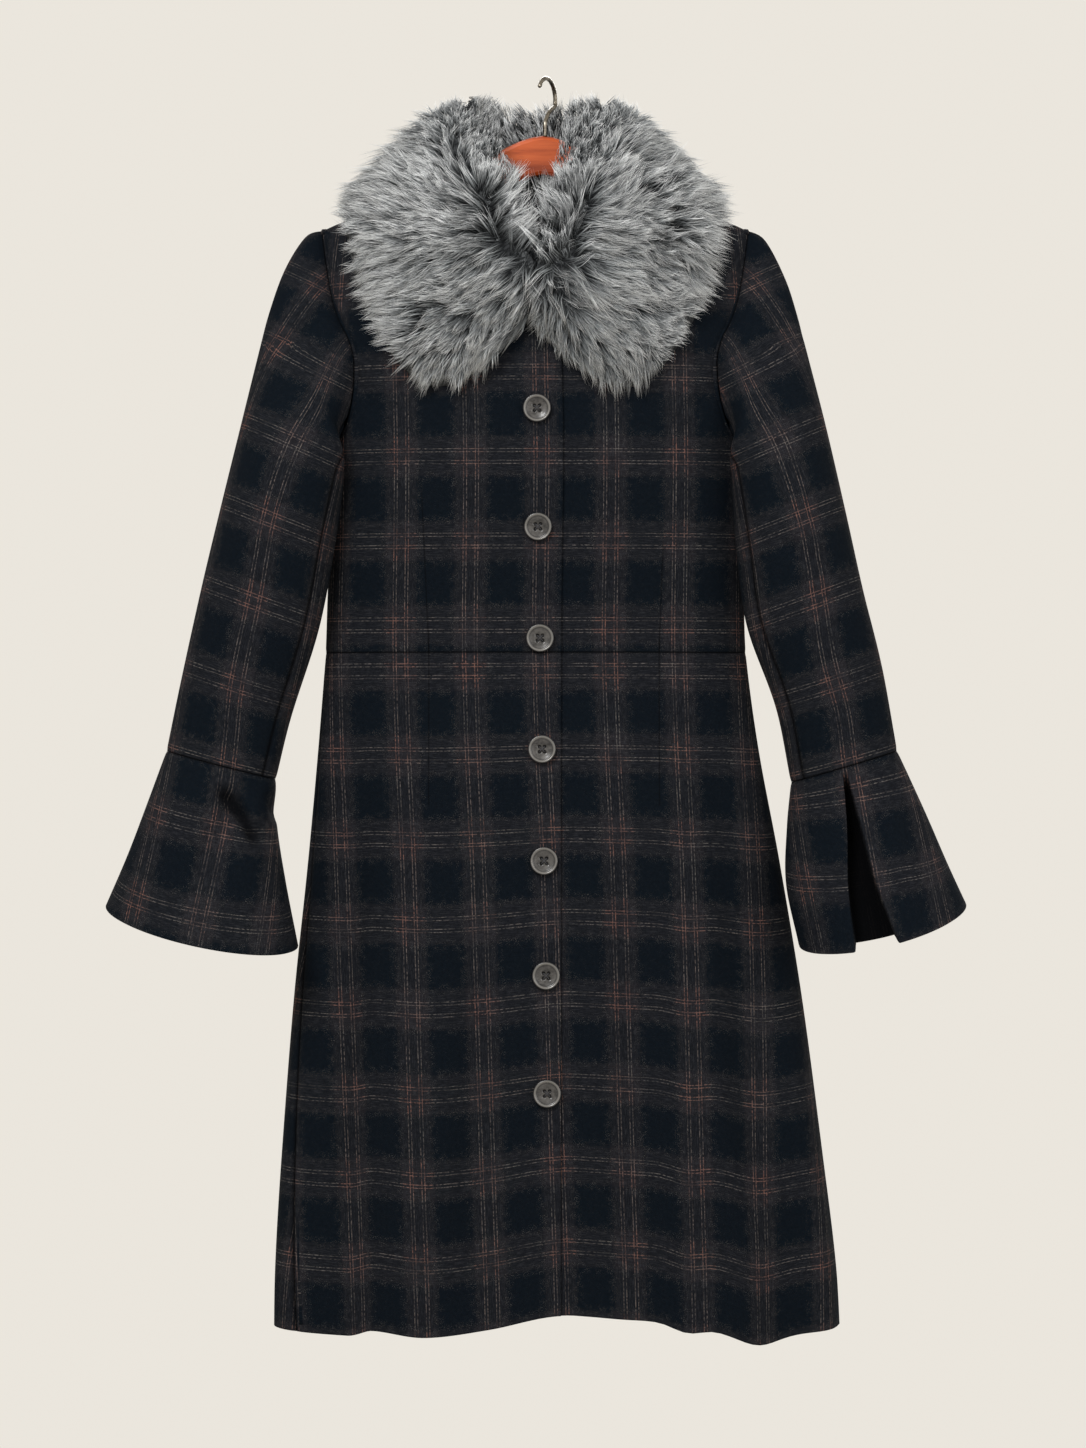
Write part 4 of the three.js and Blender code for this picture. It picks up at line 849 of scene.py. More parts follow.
def bodice_places(armhole, neck, inner, turn, up, across):
    """Angles and rises of a bodice panel's grid, from its inner edge to its side seam and
    armhole, and from the waist up to the shoulder and neckline."""
    up, across = up[:, None], across[None, :]
    place = np.clip((up - SIDE_PART) / (1 - SIDE_PART), 0, 1)
    below = up < SIDE_PART
    low = mix(WAIST_Z, UNDERARM_Z, np.clip(up / SIDE_PART, 0, 1)) - CHEST_Z
    last = np.where(below, 90.0, column(armhole, "at", place, "angle"))
    side = np.where(below, low, column(armhole, "at", place, "rise"))
    angle = angle_across(inner, turn, last, across)
    top_x = bodice_point(angle_across(inner, turn, 90.0, across), 0.0)[..., 0]
    base = mix(low, top_rise(top_x, neck), place)
    return angle, mix(base, side, across**3)


def bodice_uv(angle, rise, offset=0.0):
    """The plaid's place on the bodice: the length round the body from the middle, and the
    length down the grain from the chest."""
    across = length_to(lambda a: bodice_point(a, rise), 0.0, angle)
    up = length_to(lambda r: bodice_point(angle, r), 0.0, np.maximum(rise, 0))
    return joined(across + offset, np.where(rise > 0, -up, -rise))


def axis_of(points):
    """The middle of the body at the height of each point."""
    middle = plan_at(points[..., 2])[0]
    return joined(middle, 0.0, points[..., 2])


def tucked(points):
    """How far the lower front lies in, under the top one's edge."""
    clear = past(points[..., 0], CENTRE_X + OVERLAP + TUCK_PAST, TUCK_RUN)
    return TUCK * (1 - clear)


def bodice_front(name, side, lap, lower):
    """A front panel from its centre edge to its side seam and armhole."""
    half = plan_at(CHEST_Z)[1]
    inner, turn = -angle_of(lap / half), angle_of(PLACKET / half)
    up, across = close_ends(92), close_ends(46)
    angle, rise = bodice_places(FRONT_ARMHOLE, FRONT_NECK, inner, turn, up, across)
    angle = side * angle
    points = bodice_point(angle, rise)
    points[..., 1] += (tucked(points) if lower else 0.0) - SEAM
    uv = bodice_uv(angle, rise, LOWER_FRONT_SHIFT if lower else 0.0)
    return cloth(name, points, uv, axis_of(points), (FLAT_SEAM, 1, 0, 1))


def bodice_back():
    """The back panel, from one side seam and armhole to the other."""
    turn = angle_of(PLACKET / plan_at(CHEST_Z)[1])
    up, across = close_ends(92), np.linspace(-1, 1, 89)
    angle, rise = bodice_places(BACK_ARMHOLE, BACK_NECK, 0.0, turn, up, np.abs(across))
    angle = 180 - np.sign(across) * angle
    points = bodice_point(angle, rise)
    points[..., 1] += SEAM
    from_back = length_to(lambda a: bodice_point(a, rise), 180.0, angle)
    uv = joined(from_back, bodice_uv(angle, rise)[..., 1])
    return cloth("back_bodice_cloth", points, uv, axis_of(points), (FLAT_SEAM, 1, 1, 1))


# Skirt


def skirt_uv(angle, drop, middle):
    """The plaid's place on the skirt: the length round from its middle line, and the length
    down from the waist seam."""
    across = length_to(lambda a: skirt_point(a, drop), middle, angle)
    return joined(across, SKIRT_LENGTH * drop + SKIRT_PLAID_START)


def side_angle(side, drop):
    """Angle of the side seam, which comes forward down the wearer's right."""
    return 90 - RIGHT_SEAM_FORWARD * drop**0.6 if side < 0 else np.full_like(drop, 90.0)


def skirt_front(name, side, lap, lower):
    """A front skirt panel, from its centre edge to its side seam."""
    drop, across = close_ends(104)[:, None], close_ends(54)[None, :]
    middle, half, _, _ = plan_at(mix(WAIST_Z, BACK_HEM_Z, drop))
    inner = side * angle_of((CENTRE_X - side * lap - middle) / half)
    turn = side * angle_of((CENTRE_X + side * PLACKET - middle) / half)
    angle = side * angle_across(inner, turn, side_angle(side, drop) - SEAM_ANGLE, across)
    points = skirt_point(angle, drop)
    points[..., 1] += (tucked(points) if lower else 0.0) - SEAM
    points[..., 2] -= SEAM
    uv = skirt_uv(angle, drop + 0 * angle, 0.0) + [LOWER_FRONT_SHIFT if lower else 0.0, 0.0]
    return cloth(name, points, uv, axis_of(points), (FLAT_SEAM, 0, 0, 1))


def skirt_back():
    """The back skirt panel, from one side seam round to the other."""
    drop, across = close_ends(104)[:, None], np.linspace(0, 1, 97)[None, :]
    left, right = side_angle(1, drop) + SEAM_ANGLE, 360 - side_angle(-1, drop) - SEAM_ANGLE
    angle = mix(left, right, across)
    points = skirt_point(angle, drop)
    points[..., 1] += SEAM
    points[..., 2] -= SEAM
    uv = skirt_uv(angle, drop + 0 * angle, 180.0)
    return cloth("back_skirt_cloth", points, uv, axis_of(points), (FLAT_SEAM, 0, 1, 1))


# Sleeves and cuffs


def ring_at(rows, place):
    """A ring of a sleeve or cuff: its middle, the way from there to its outer side, and its
    half depth."""
    names = "outX outZ inX inZ half fore"
    out_x, out_z, in_x, in_z, half, fore = columns_at(rows, place, names)
    outer, inner = joined(out_x, 0.0, out_z), joined(in_x, 0.0, in_z)
    middle = (outer + inner) / 2
    middle[..., 1] = -fore
    return middle, (outer - inner) / 2, half


def ring_point(rows, place, turn):
    """A point of a ring: turn 0 is its outer side, 90 its front and 180 its inner side."""
    middle, reach, half = ring_at(rows, place)
    turn = np.radians(turn)
    point = middle + reach * np.cos(turn)[..., None]
    point[..., 1] -= half * np.sin(turn)
    return point


def wrapped(turn):
    """A turn between -180 and 180."""
    return (turn + 180) % 360 - 180


def armhole_place(side, turn):
    """Angle and rise of the armhole's edge on the bodice at a turn round the sleeve, from the
    shoulder tip over the front."""
    turn = wrapped(turn)
    place = 1 - np.abs(turn) / 180
    front_angle, front_rise = columns_at(FRONT_ARMHOLE, place, "angle rise")
    back_angle, back_rise = columns_at(BACK_ARMHOLE, place, "angle rise")
    in_front = turn >= 0
    angle = np.where(in_front, front_angle, 180 - back_angle)
    return side * angle, np.where(in_front, front_rise, back_rise)


def armhole_point(side, turn):
    """The armhole's edge on the bodice."""
    return bodice_point(*armhole_place(side, turn))


def clear_of_body(points, margin):
    """Points in the body's plan, moved out to its surface and a little further."""
    middle, half, front, back = plan_at(points[..., 2])
    x, y, z = points[..., 0] - middle, points[..., 1], points[..., 2]
    depth = np.where(y < 0, front, back) + margin
    inside = (np.abs(x) / (half + margin)) ** PLAN_POWER + (np.abs(y) / depth) ** PLAN_POWER
    moves = (inside < 1) & (z <= CHEST_Z)
    scale = np.where(moves, np.maximum(inside, 1e-6) ** (-1 / PLAN_POWER), 1.0)
    return joined(middle + x * scale, y * scale, z)


def sleeve_point(rows, side, place, turn):
    """A point of a sleeve: ellipses whose shape starts as the armhole's own."""
    own = armhole_point(side, turn) - ring_point(rows, np.zeros_like(place), turn)
    own[..., 0] += side * ARMHOLE_GAP
    points = ring_point(rows, place, turn) + own * column(rows, "at", place, "keep")[..., None]
    return clear_of_body(points, mix(ARMHOLE_GAP, BODY_GAP, smooth(place / 0.1)))


def grain_off(rows, side, place):
    """How far the grain line lies from the front of a sleeve or cuff at a place down it."""
    front = ring_point(rows, place, np.full_like(place, SLEEVE_FRONT_LINE))
    line = RIGHT_GRAIN if side < 0 else LEFT_GRAIN
    return column(line, "z", front[..., 2], "x") - front[..., 0]


def sleeve_uv(rows, side, points, place, turn):
    """The plaid's place on a sleeve: the length round from its grain line, and the length down
    the arm of a level that droops towards the body."""
    axis = ring_at(rows, np.linspace(0, 1, 60))[0]
    x_axis = np.interp(-points[..., 2], -axis[:, 2], axis[:, 0])
    droop = np.radians(np.interp(-points[..., 2], *SLEEVE_DROOP))
    inward = (x_axis - points[..., 0]) * side
    down = -(points[..., 2] + np.tan(droop) * inward) * SLEEVE_GRAIN
    across = length_to(lambda t: ring_point(rows, place, t), SLEEVE_FRONT_LINE, turn)
    return joined(across * side + grain_off(rows, side, place), down)


def sleeve_panel(name, side, start, end, count):
    """A sleeve's panel between two seams, given as turns round the sleeve."""
    rows = RIGHT_SLEEVE if side < 0 else LEFT_SLEEVE
    place = close_ends(96)[:, None] + np.zeros((1, count))
    start, end = start + SLEEVE_SEAM_TURN, end - SLEEVE_SEAM_TURN
    turn = np.linspace(start, end, count)[None, :] + np.zeros_like(place)
    points = sleeve_point(rows, side, place, turn)
    uv = sleeve_uv(rows, side, points, place, turn)
    return cloth(name, points, uv, ring_at(rows, place)[0], (1, FLAT_SEAM, 1, 1))


def top_sleeve(side, name):
    """A sleeve's panel over its outer side."""
    seams = BACK_SLEEVE_SEAM, FRONT_SLEEVE_SEAM
    return sleeve_panel(f"{name}_top_sleeve_cloth", side, *seams, 57)


def under_sleeve(side, name):
    """A sleeve's panel at its inner side."""
    seams = FRONT_SLEEVE_SEAM, BACK_SLEEVE_SEAM + 360
    return sleeve_panel(f"{name}_under_sleeve_cloth", side, *seams, 27)


def seam_strip(name, path, radius, around):
    """A seam allowance: a round strip of cloth along a path."""
    every, faces = tube(path, radius, around)
    put_mesh(name, every, faces, PLAID, every[:, [1, 2]])


def armhole_seam(side, name):
    """The armhole's seam allowance, just under the seam, all round."""
    angle, rise = armhole_place(side, np.linspace(-179.0, 179.0, 140))
    small = 0.02
    point = bodice_point(angle, rise)
    round_it = bodice_point(angle + small, rise) - point
    down_it = bodice_point(angle, rise - small) - point
    away = facing(unit(np.cross(round_it, down_it)), point - axis_of(point))
    seam_strip(f"{name}_armhole_seam", point - away * ARMHOLE_SEAM_DEEP, ARMHOLE_SEAM_R, 10)


def side_seam(side, name):
    """The side seam's allowance, inside the coat from the underarm to the hem."""
    above = np.linspace(UNDERARM_Z - SIDE_SEAM_TOP, WAIST_Z, 30) - CHEST_Z
    drop = np.linspace(0.01, 0.99, 90)
    bodice = bodice_point(np.full_like(above, 90.0 * side), above)
    skirt = skirt_point(side * side_angle(side, drop), drop)
    path = np.concatenate([bodice, skirt])
    inwards = unit(axis_of(path) - path)
    seam_strip(f"{name}_side_seam", path + inwards * SIDE_SEAM_DEEP, SIDE_SEAM_R, 8)


def cuff_turns(side):
    """Turns round a cuff, close together where the left one has its pleat."""
    if side < 0:
        return np.linspace(-180.0, 180.0, 121)
    plain = np.linspace(-180.0, 180.0, 91)
    fine = PLEAT["middle"] + np.linspace(-1.3, 1.7, 71) * PLEAT["half"]
    kept = plain[(plain < fine[0] - 1) | (plain > fine[-1] + 1)]
    return np.sort(np.concatenate([kept, fine]))


def pleat_open(place, turn):
    """How much of the left cuff's inverted pleat is open at a place: all of it between two
    lips, from a narrow start at the seam to its full width at the hem."""
    half = PLEAT["half"] * mix(PLEAT_TOP, 1.0, place)
    offset = (turn - PLEAT["middle"] - PLEAT_LEAN * place) / half
    return smooth((1 - np.abs(offset)) / PLEAT_LIP) * smooth(place * FOLD_START)


def dented(place, turn):
    """How deep the right cuff's slanting fold is at a place: a bell across its line."""
    slant = (turn - DENT["middle"] - DENT["slant"] * place) / DENT["half"]
    ends = smooth(place * FOLD_START / 2) * smooth((1 - place) * 1.6)
    return DENT["deep"] * hill(slant, 1.0) * ends


def cuff(name, rows, side):
    """A bell cuff: rings that widen to the hem, sewn to a tube at its inner side, with an
    inverted pleat on the left one and a slanting fold in the right one."""
    turns = cuff_turns(side)
    place = close_ends(44)[:, None] + 0 * turns
    turn = turns + 0 * place
    points = ring_point(rows, place, turn)
    pleat = pleat_open(place, turn) if side > 0 else 0.0 * place
    sunk = pleat * PLEAT["deep"] * smooth(place * 2 + 0.35)
    points[..., 1] += sunk if side > 0 else dented(place, turn)
    dip = column(rows, "at", place, "dip")
    points[..., 2] -= dip * np.maximum(np.sin(np.radians(turn)), 0)
    points[..., 2] -= CUFF_GAP * (1 - smooth(place * FOLD_START))
    points[..., 2] += pleat * PLEAT_HEM * place**3
    around = length_to(lambda t: ring_point(rows, place, t), SLEEVE_FRONT_LINE, turn)
    down = SLEEVE_LENGTH + CUFF_LENGTH * place - (CUFF_SHIFT if side < 0 else 0.0)
    uv = joined(around * side + grain_off(rows, side, place), down)
    # The pleat's open part goes in as deep: painted shade inside the pleat
    return cloth(name, points, uv, ring_at(rows, place)[0], (FLAT_SEAM, 0, 0.3, 0.3), pleat)


# Finishes


class Value:
    """A shader value. An expression on it adds the Math nodes that work it out."""

    def __init__(self, finish, socket):
        self.finish = finish
        self.socket = socket

    def math(self, operation, *others):
        """The value put through a Math node."""
        inputs = dict(enumerate((self, *others)))
        return self.finish.node("Math", {"operation": operation}, inputs)

    def __add__(self, other):
        return self.math("ADD", other)

    def __mul__(self, other):
        return self.math("MULTIPLY", other)

    def __sub__(self, other):
        return self.math("SUBTRACT", other)

    def __rsub__(self, other):
        return self.finish.node("Math", {"operation": "SUBTRACT"}, {0: other, 1: self})

    def __truediv__(self, other):
        return self.math("DIVIDE", other)

    __radd__ = __add__
    __rmul__ = __mul__

    def __abs__(self):
        return self.math("ABSOLUTE")

    def clamped(self):
        """The value held between 0 and 1."""
        return self.finish.node("Clamp", {}, {0: self})

    def step(self, low, high):
        """0 at low and 1 at high, with a soft S between."""
        settings = {"interpolation_type": "SMOOTHSTEP"}
        return self.finish.node("MapRange", settings, {0: self, 1: low, 2: high})


class Finish:
    """A material and the nodes that make it."""

    def __init__(self, name, **constants):
        self.material = bpy.data.materials.new(name)
        self.material.use_nodes = True
        self.nodes = self.material.node_tree.nodes
        self.links = self.material.node_tree.links
        self.shader = self.nodes["Principled BSDF"]
        for key, value in constants.items():
            self.shader.inputs[key.replace("_", " ")].default_value = value

    def node(self, kind, settings, inputs, output=0):
        """Adds a node of a kind, sets it up, feeds its sockets with values or links and returns
        one of its outputs."""
        node = self.nodes.new("ShaderNode" + kind)
        for key, value in settings.items():
            setattr(node, key, value)
        live = [socket for socket in node.inputs if socket.enabled]
        for key, value in inputs.items():
            socket = live[key] if isinstance(key, int) else node.inputs[key]
            self.feed(socket, value)
        outputs = [socket for socket in node.outputs if socket.enabled]
        return Value(self, outputs[output] if isinstance(output, int) else node.outputs[output])

    def feed(self, socket, value):
        """Links a value to a socket, or sets it there."""
        if isinstance(value, Value):
            self.links.new(value.socket, socket)
        else:
            socket.default_value = value

    def set(self, name, value):
        """Feeds a socket of the shader."""
        self.feed(self.shader.inputs[name], value)

    def mark(self, name):
        """A mark of the mesh."""
        return self.node("Attribute", {"attribute_name": name}, {}, "Fac")

    def object_place(self):
        """The place on the object."""
        return self.node("TexCoord", {}, {}, "Object")

    def axes(self, place):
        """The x, y and z of a place."""
        first = self.node("SeparateXYZ", {}, {0: place})
        return [Value(self, socket) for socket in first.socket.node.outputs]

    def noise(self, place, scale, detail=2.0, rough=0.5):
        """Noise at a place, between 0 and 1."""
        inputs = {"Vector": place, "Scale": scale, "Detail": detail, "Roughness": rough}
        return self.node("TexNoise", {}, inputs, "Fac")

    def blend(self, low, high, part):
        """A colour between two by a part."""
        return self.node("Mix", {"data_type": "RGBA"}, {0: part, 1: low, 2: high})

    def stretched(self, place, x, y, z):
        """A place with each of its directions stretched."""
        return self.node("VectorMath", {"operation": "MULTIPLY"}, {0: place, 1: (x, y, z)})

    def bump(self, height, strength, distance):
        """Feeds the shader's normal from a height of 0 to 1 that stands for a distance in
        metres."""
        inputs = {"Height": height, "Strength": strength, "Distance": distance}
        self.set("Normal", self.node("Bump", {}, inputs))


def plaid_cloth():
    """Plaid wool flannel. Bands cross each way on the cut's own places, and each has two pairs
    of fine dotted lines. Noise drawn out along the yarns frays the bands' edges, breaks the
    lines into dots and leaves slubs. Rust shows where the lines of both ways cross. The darts
    are painted shade lines, and the mark "deep" paints shade along each sewn edge, at the foot of
    deep creases and inside a pleat. A random mottle, the wool's own, darkens it a little."""
    cloth = Finish("plaid_wool", Roughness=0.95, Specular_IOR_Level=0.06)
    cut = cloth.node("UVMap", {"uv_map": "cut"}, {})
    u, v, _ = cloth.axes(cut)
    along_v = cloth.stretched(cut, 1400.0, 110.0, 0.0)
    along_u = cloth.stretched(cut, 110.0, 1400.0, 0.0)
    fray_v, fray_u = cloth.noise(along_v, 1.0, 3.0, 0.6), cloth.noise(along_u, 1.0, 3.0, 0.6)
    patch = cloth.noise(cut, 16.0)

    def bands(place, repeat, phase, half, fray):
        """How much a band shows at a place across it, its two pairs of lines, and its edge."""
        turn = (place - phase) / repeat
        off = abs(turn.math("FRACT") - 0.5) * -1.0 + 0.5
        off = off * (repeat * 1000)
        body = 1 - (off + (fray - 0.5) * PLAID_FRAY).step(half - BAND_SOFT, half + BAND_SOFT)
        first, second = (1 - abs(off - line).step(*LINE_HALF) for line in LINE_PLACES)
        edge = 1 - abs(off - half).step(*EDGE_HALF)
        return body, first + second, edge

    band_v, lines_v, edge_v = bands(u, REPEAT_U, PHASE_U, BAND_HALF_U, fray_v)
    band_h, lines_h, edge_h = bands(v, REPEAT_V, PHASE_V, BAND_HALF_V, fray_u)
    dots_v = cloth.noise(cloth.stretched(cut, 900.0, 420.0, 0.0), 1.0).step(0.36, 0.66)
    dots_u = cloth.noise(cloth.stretched(cut, 420.0, 900.0, 0.0), 1.0).step(0.36, 0.66)
    worn = cloth.noise(cut, 45.0, 3.0, 0.6).step(0.34, 0.62) * 0.75 + 0.25
    light_v = lines_v * dots_v * worn
    light_h = lines_h * dots_u * worn
    speck = cloth.noise(cut, 1500.0, 3.0, 0.65).step(0.57, 0.7)
    speck = speck * cloth.noise(cut, 170.0).step(0.38, 0.6)
    slub_v, slub_u = fray_v.step(0.46, 0.7), fray_u.step(0.46, 0.7)
    both = (band_v + band_h).clamped()
    colour = cloth.blend(NAVY, CHARCOAL, both)
    colour = cloth.blend(colour, CROSSING, band_v * band_h * 0.75)
    colour = cloth.blend(colour, SLUB, (band_v * slub_v + band_h * slub_u).clamped() * 0.5)
    colour = cloth.blend(colour, LINE, (light_v + light_h).clamped() * 0.5)
    colour = cloth.blend(colour, LINE, speck * (edge_v + edge_h + 0.12).clamped() * 0.7)
    rust = (light_v * (band_h + 0.2) + light_h * (band_v + 0.08)).clamped()
    colour = cloth.blend(colour, RUST, rust * patch.step(0.3, 0.6) * 0.5)
    # Painted shade along each dart's seam
    for dart in DARTS:
        colour = cloth.blend(colour, SHADE_AND_MOTTLE, dart_shade_line(cloth, *dart))
    # Random mottle: the wool's own darker tone, towards the same dark colour
    mottle = cloth.noise(cut, 380.0, 3.0, 0.65)
    colour = cloth.blend(colour, SHADE_AND_MOTTLE, (1 - mottle.step(0.3, 0.6)) * 0.3)
    weave = cloth.noise(cut, 2600.0, 2.0, 0.7)
    colour = cloth.blend(colour, BLACK, (1 - weave.step(0.2, 0.75)) * 0.35)
    # Painted shade from the mark deep: along sewn edges, at crease feet and inside the pleat
    cloth.set("Base Color", cloth.blend(colour, SHADE_AND_MOTTLE, cloth.mark("deep") * 0.97))
    felt = cloth.noise(cut, 900.0, 3.0, 0.7)
    cloth.bump(felt + (light_v + light_h) * 0.5 + weave * 0.5, 0.55, 0.0006)
    return cloth.material


def dart_shade_line(cloth, x0, z0, x1, z1):
    """How much painted shade a dart's thin seam from (x0, z0) up to (x1, z1) gets: near the line
    across, between its ends, and only on the front."""
    x, y, z = cloth.axes(cloth.object_place())
    slope = (x1 - x0) / (z1 - z0)
    off = abs(x - (z * slope + (x0 - slope * z0) * MM))
    line = 1 - off.step(DART_HALF * MM, DART_SIDE * MM)
    foot = z.step((z0 - DART_FOOT) * MM, z0 * MM)
    point = 1 - z.step(z1 * MM, (z1 + DART_POINT) * MM)
    return line * (foot * point) * (1 - y.step(FRONT_Y, 0.0)) * DART_SHADE


def fur_finish():
    """Long fur: dark at the roots, silver at the tips, each lock a little different."""
    fur = Finish("fur", Roughness=0.62, Specular_IOR_Level=0.35)
    tip, tone = fur.mark("tip"), fur.mark("tone")
    colour = fur.blend(FUR_ROOT, FUR_MIDDLE, tip.step(0.05, 0.5))
    colour = fur.blend(colour, FUR_TIP, tip.step(0.45, 0.95))
    colour = fur.blend(colour, FUR_ROOT, (1 - tone) * 0.75)
    fur.set("Base Color", colour)
    return fur.material


def pelt_finish():
    """The fur's dense underlayer, seen between the locks: noise in grey on near black."""
    pelt = Finish("fur_underlayer", Roughness=0.9)
    place = pelt.object_place()
    fine, broad = pelt.noise(place, 700.0, 3.0, 0.7), pelt.noise(place, 60.0)
    grey = fine.step(0.35, 0.75) * broad.step(0.3, 0.7)
    pelt.set("Base Color", pelt.blend(FUR_ROOT, FUR_MIDDLE, grey))
    pelt.bump(fine, 0.8, 0.002)
    return pelt.material


def horn_finish():
    """Smoky horn: cloudy grey, with a painted highlight on the rim's top and painted shade in the
    holes, the groove and the side.
    """
    horn = Finish("horn", Specular_IOR_Level=0.35, Coat_Weight=0.3, Coat_Roughness=0.12)
    place = horn.object_place()
    cloud = horn.noise(place, 160.0, 4.0, 0.6)
    grain = horn.noise(horn.stretched(place, 300.0, 300.0, 1800.0), 1.0)
    colour = horn.blend(HORN_DARK, HORN, (cloud * 0.7 + grain * 0.3).step(0.3, 0.65))
    # Painted highlight on the rim's top
    colour = horn.blend(colour, HORN_RIM_HIGHLIGHT, horn.mark("rim"))
    # Painted shade in the holes, the groove and the side
    horn.set("Base Color", horn.blend(colour, HOLE_SHADE, horn.mark("hole")))
    horn.set("Roughness", cloud.step(0.2, 0.9) * 0.2 + 0.25)
    return horn.material


def thread_finish():
    """Dark sewing thread: fine noise stands for its twist."""
    thread = Finish("thread", Roughness=0.8)
    twist = thread.noise(thread.object_place(), 2500.0, 1.0)
    thread.set("Base Color", thread.blend(THREAD_DARK, THREAD_PALE, twist))
    return thread.material


def wood_finish():
    """Varnished reddish wood: grain drawn out along the arms, darker pores."""
    wood = Finish("varnished_wood", Specular_IOR_Level=0.3, Coat_Weight=0.1, Coat_Roughness=0.15)
    place = wood.object_place()
    grain = wood.noise(wood.stretched(place, 9.0, 60.0, 120.0), 1.0, 4.0, 0.6)
    pore = wood.noise(wood.stretched(place, 60.0, 700.0, 900.0), 1.0)
    colour = wood.blend(WOOD_DARK, WOOD, grain.step(0.3, 0.65))
    colour = wood.blend(colour, WOOD_LIGHT, grain.step(0.6, 0.8) * 0.6)
    colour = wood.blend(colour, WOOD_DARK, (1 - pore.step(0.25, 0.42)) * 0.5)
    wood.set("Base Color", colour)
    wood.set("Roughness", grain * 0.2 + 0.22)
    wood.bump(pore, 0.1, 0.0003)
    return wood.material


def wire_finish():
    """Polished steel wire with fine scratches and a few dull patches."""
    wire = Finish("hook_wire", Metallic=1.0)
    place = wire.object_place()
    dull = wire.noise(place, 220.0, 3.0)
    wire.set("Base Color", wire.blend(WIRE_DARK, WIRE, dull.step(0.35, 0.6)))
    wire.set("Roughness", dull * 0.15 + 0.2)
    scratch = wire.noise(wire.stretched(place, 3000.0, 3000.0, 200.0), 1.0)
    wire.bump(scratch, 0.1, 0.0002)
    return wire.material


# Collar


def lifted_off(x, turn):
    """Points just off the coat, further off where the ridge is round."""
    small = 0.05
    point = over_ridge(x, turn)
    across, over = over_ridge(x + small, turn) - point, over_ridge(x, turn + small) - point
    away = facing(unit(np.cross(across, over)), point - COLLAR_HEART)
    return point + away * (COLLAR_LIFT + RIDGE_LIFT * hill(turn, RIDGE_ROUND))[..., None]


def collar_line(rows, place, part):
    """The collar's chord from the roll at the neck (part 0) to its edge on the coat (part 1)."""
    roll = joined(*columns_at(rows, place, "rollX rollY rollZ"))
    edge = over_ridge(*columns_at(rows, place, "edgeX edgeTurn"))
    return mix(roll, edge, part[..., None])


def collar_top(rows, place, part):
    """The collar's upper side: a flattened arch over the chord, part 0 at the roll and 1 at
    the edge, its height 4 t (1 - t) to the power of COLLAR_ARCH."""
    small = 0.02
    half = np.full_like(part, 0.5)
    before, after = np.maximum(place - small, 0), np.minimum(place + small, 1)
    along = collar_line(rows, after, half) - collar_line(rows, before, half)
    outer_way = -1 if rows is RIGHT_COLLAR else 1
    along = np.where((place < small)[..., None], joined(outer_way + 0 * place, 0.0, 0.0), along)
    chord = collar_line(rows, place, 0 * part + 1) - collar_line(rows, place, 0 * part)
    up = facing(unit(np.cross(chord, along)), collar_line(rows, place, half) - COLLAR_HEART)
    high = column(rows, "at", place, "crown") * (4 * part * (1 - part)) ** COLLAR_ARCH
    return collar_line(rows, place, part) + up * high[..., None]


def collar_under(rows, place, part):
    """The collar's under side, on the coat from its seat at the neckline to its edge."""
    names = "seatX seatTurn edgeX edgeTurn"
    seat_x, seat_turn, edge_x, edge_turn = columns_at(rows, place, names)
    return lifted_off(mix(seat_x, edge_x, part), mix(seat_turn, edge_turn, part))


def pelt_top(rows, place, part):
    """The pelt's upper side: the collar's own, lower and narrower by the reach of its fur."""
    inner = mix(*PELT_REACH, part)
    return mix(collar_line(rows, place, inner), collar_top(rows, place, inner), PELT_CROWN)


def neck_side(rows, place, part):
    """The collar's side at the neck, from the roll down to its seat on the neckline."""
    roll, seat = collar_line(rows, place, 0 * part), collar_under(rows, place, 0 * part)
    return mix(roll, seat, part[..., None])



def both_sides(surface, count, parts):
    """A grid of a collar surface from the wearer's right end over the back to the left end."""
    place = np.linspace(0, 1, count)[:, None] + 0 * parts[None, :]
    part = parts[None, :] + 0 * place
    right = surface(RIGHT_COLLAR, place, part)[::-1]
    return np.concatenate([right[:-1], surface(LEFT_COLLAR, place, part)])


def pelt():
    """The collar's body under the fur: its upper and under sides, joined round."""
    top = both_sides(pelt_top, 60, np.linspace(0, 1, 25))
    under = both_sides(collar_under, 60, np.linspace(1, 0, 16))
    points = np.concatenate([top, under], axis=1)
    every, faces = capped(points, points[0].mean(axis=0), points[-1].mean(axis=0))
    piece = put_mesh("fur_collar_pelt", every, faces, PELT)
    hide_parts("fur_collar")
    return piece


# Fur


def scattered(surface, rows, count, rng):
    """Random places on a side of the collar, as many to each bit of its area."""
    long, wide = 60, 40
    steps = np.linspace(0, 1, long + 1), np.linspace(0, 1, wide + 1)
    points = surface(rows, *np.meshgrid(*steps, indexing="ij"))
    down, across = np.diff(points, axis=0)[:, :-1], np.diff(points, axis=1)[:-1]
    area = np.linalg.norm(np.cross(down, across), axis=-1).ravel()
    cell = rng.choice(len(area), count, p=area / area.sum())
    jitter = rng.random((2, count))
    return (cell // wide + jitter[0]) / long, (cell % wide + jitter[1]) / wide


def ways_over(surface, rows, place, part):
    """Directions on a surface of the collar, from its first edge to its second and along
    them: differences of points close by."""
    small = 0.01
    before, after = np.maximum(part - small, 0), np.minimum(part + small, 1)
    flow = surface(rows, place, after) - surface(rows, place, before)
    before, after = np.maximum(place - small, 0), np.minimum(place + small, 1)
    return unit(flow), unit(surface(rows, after, part) - surface(rows, before, part))


def from_places(root, rows):
    """The way in the picture's plane to every root from each place of a table, and its
    length."""
    way = root[:, None, [0, 2]] - joined(rows["x"], rows["z"])
    return way, np.linalg.norm(way, axis=-1)


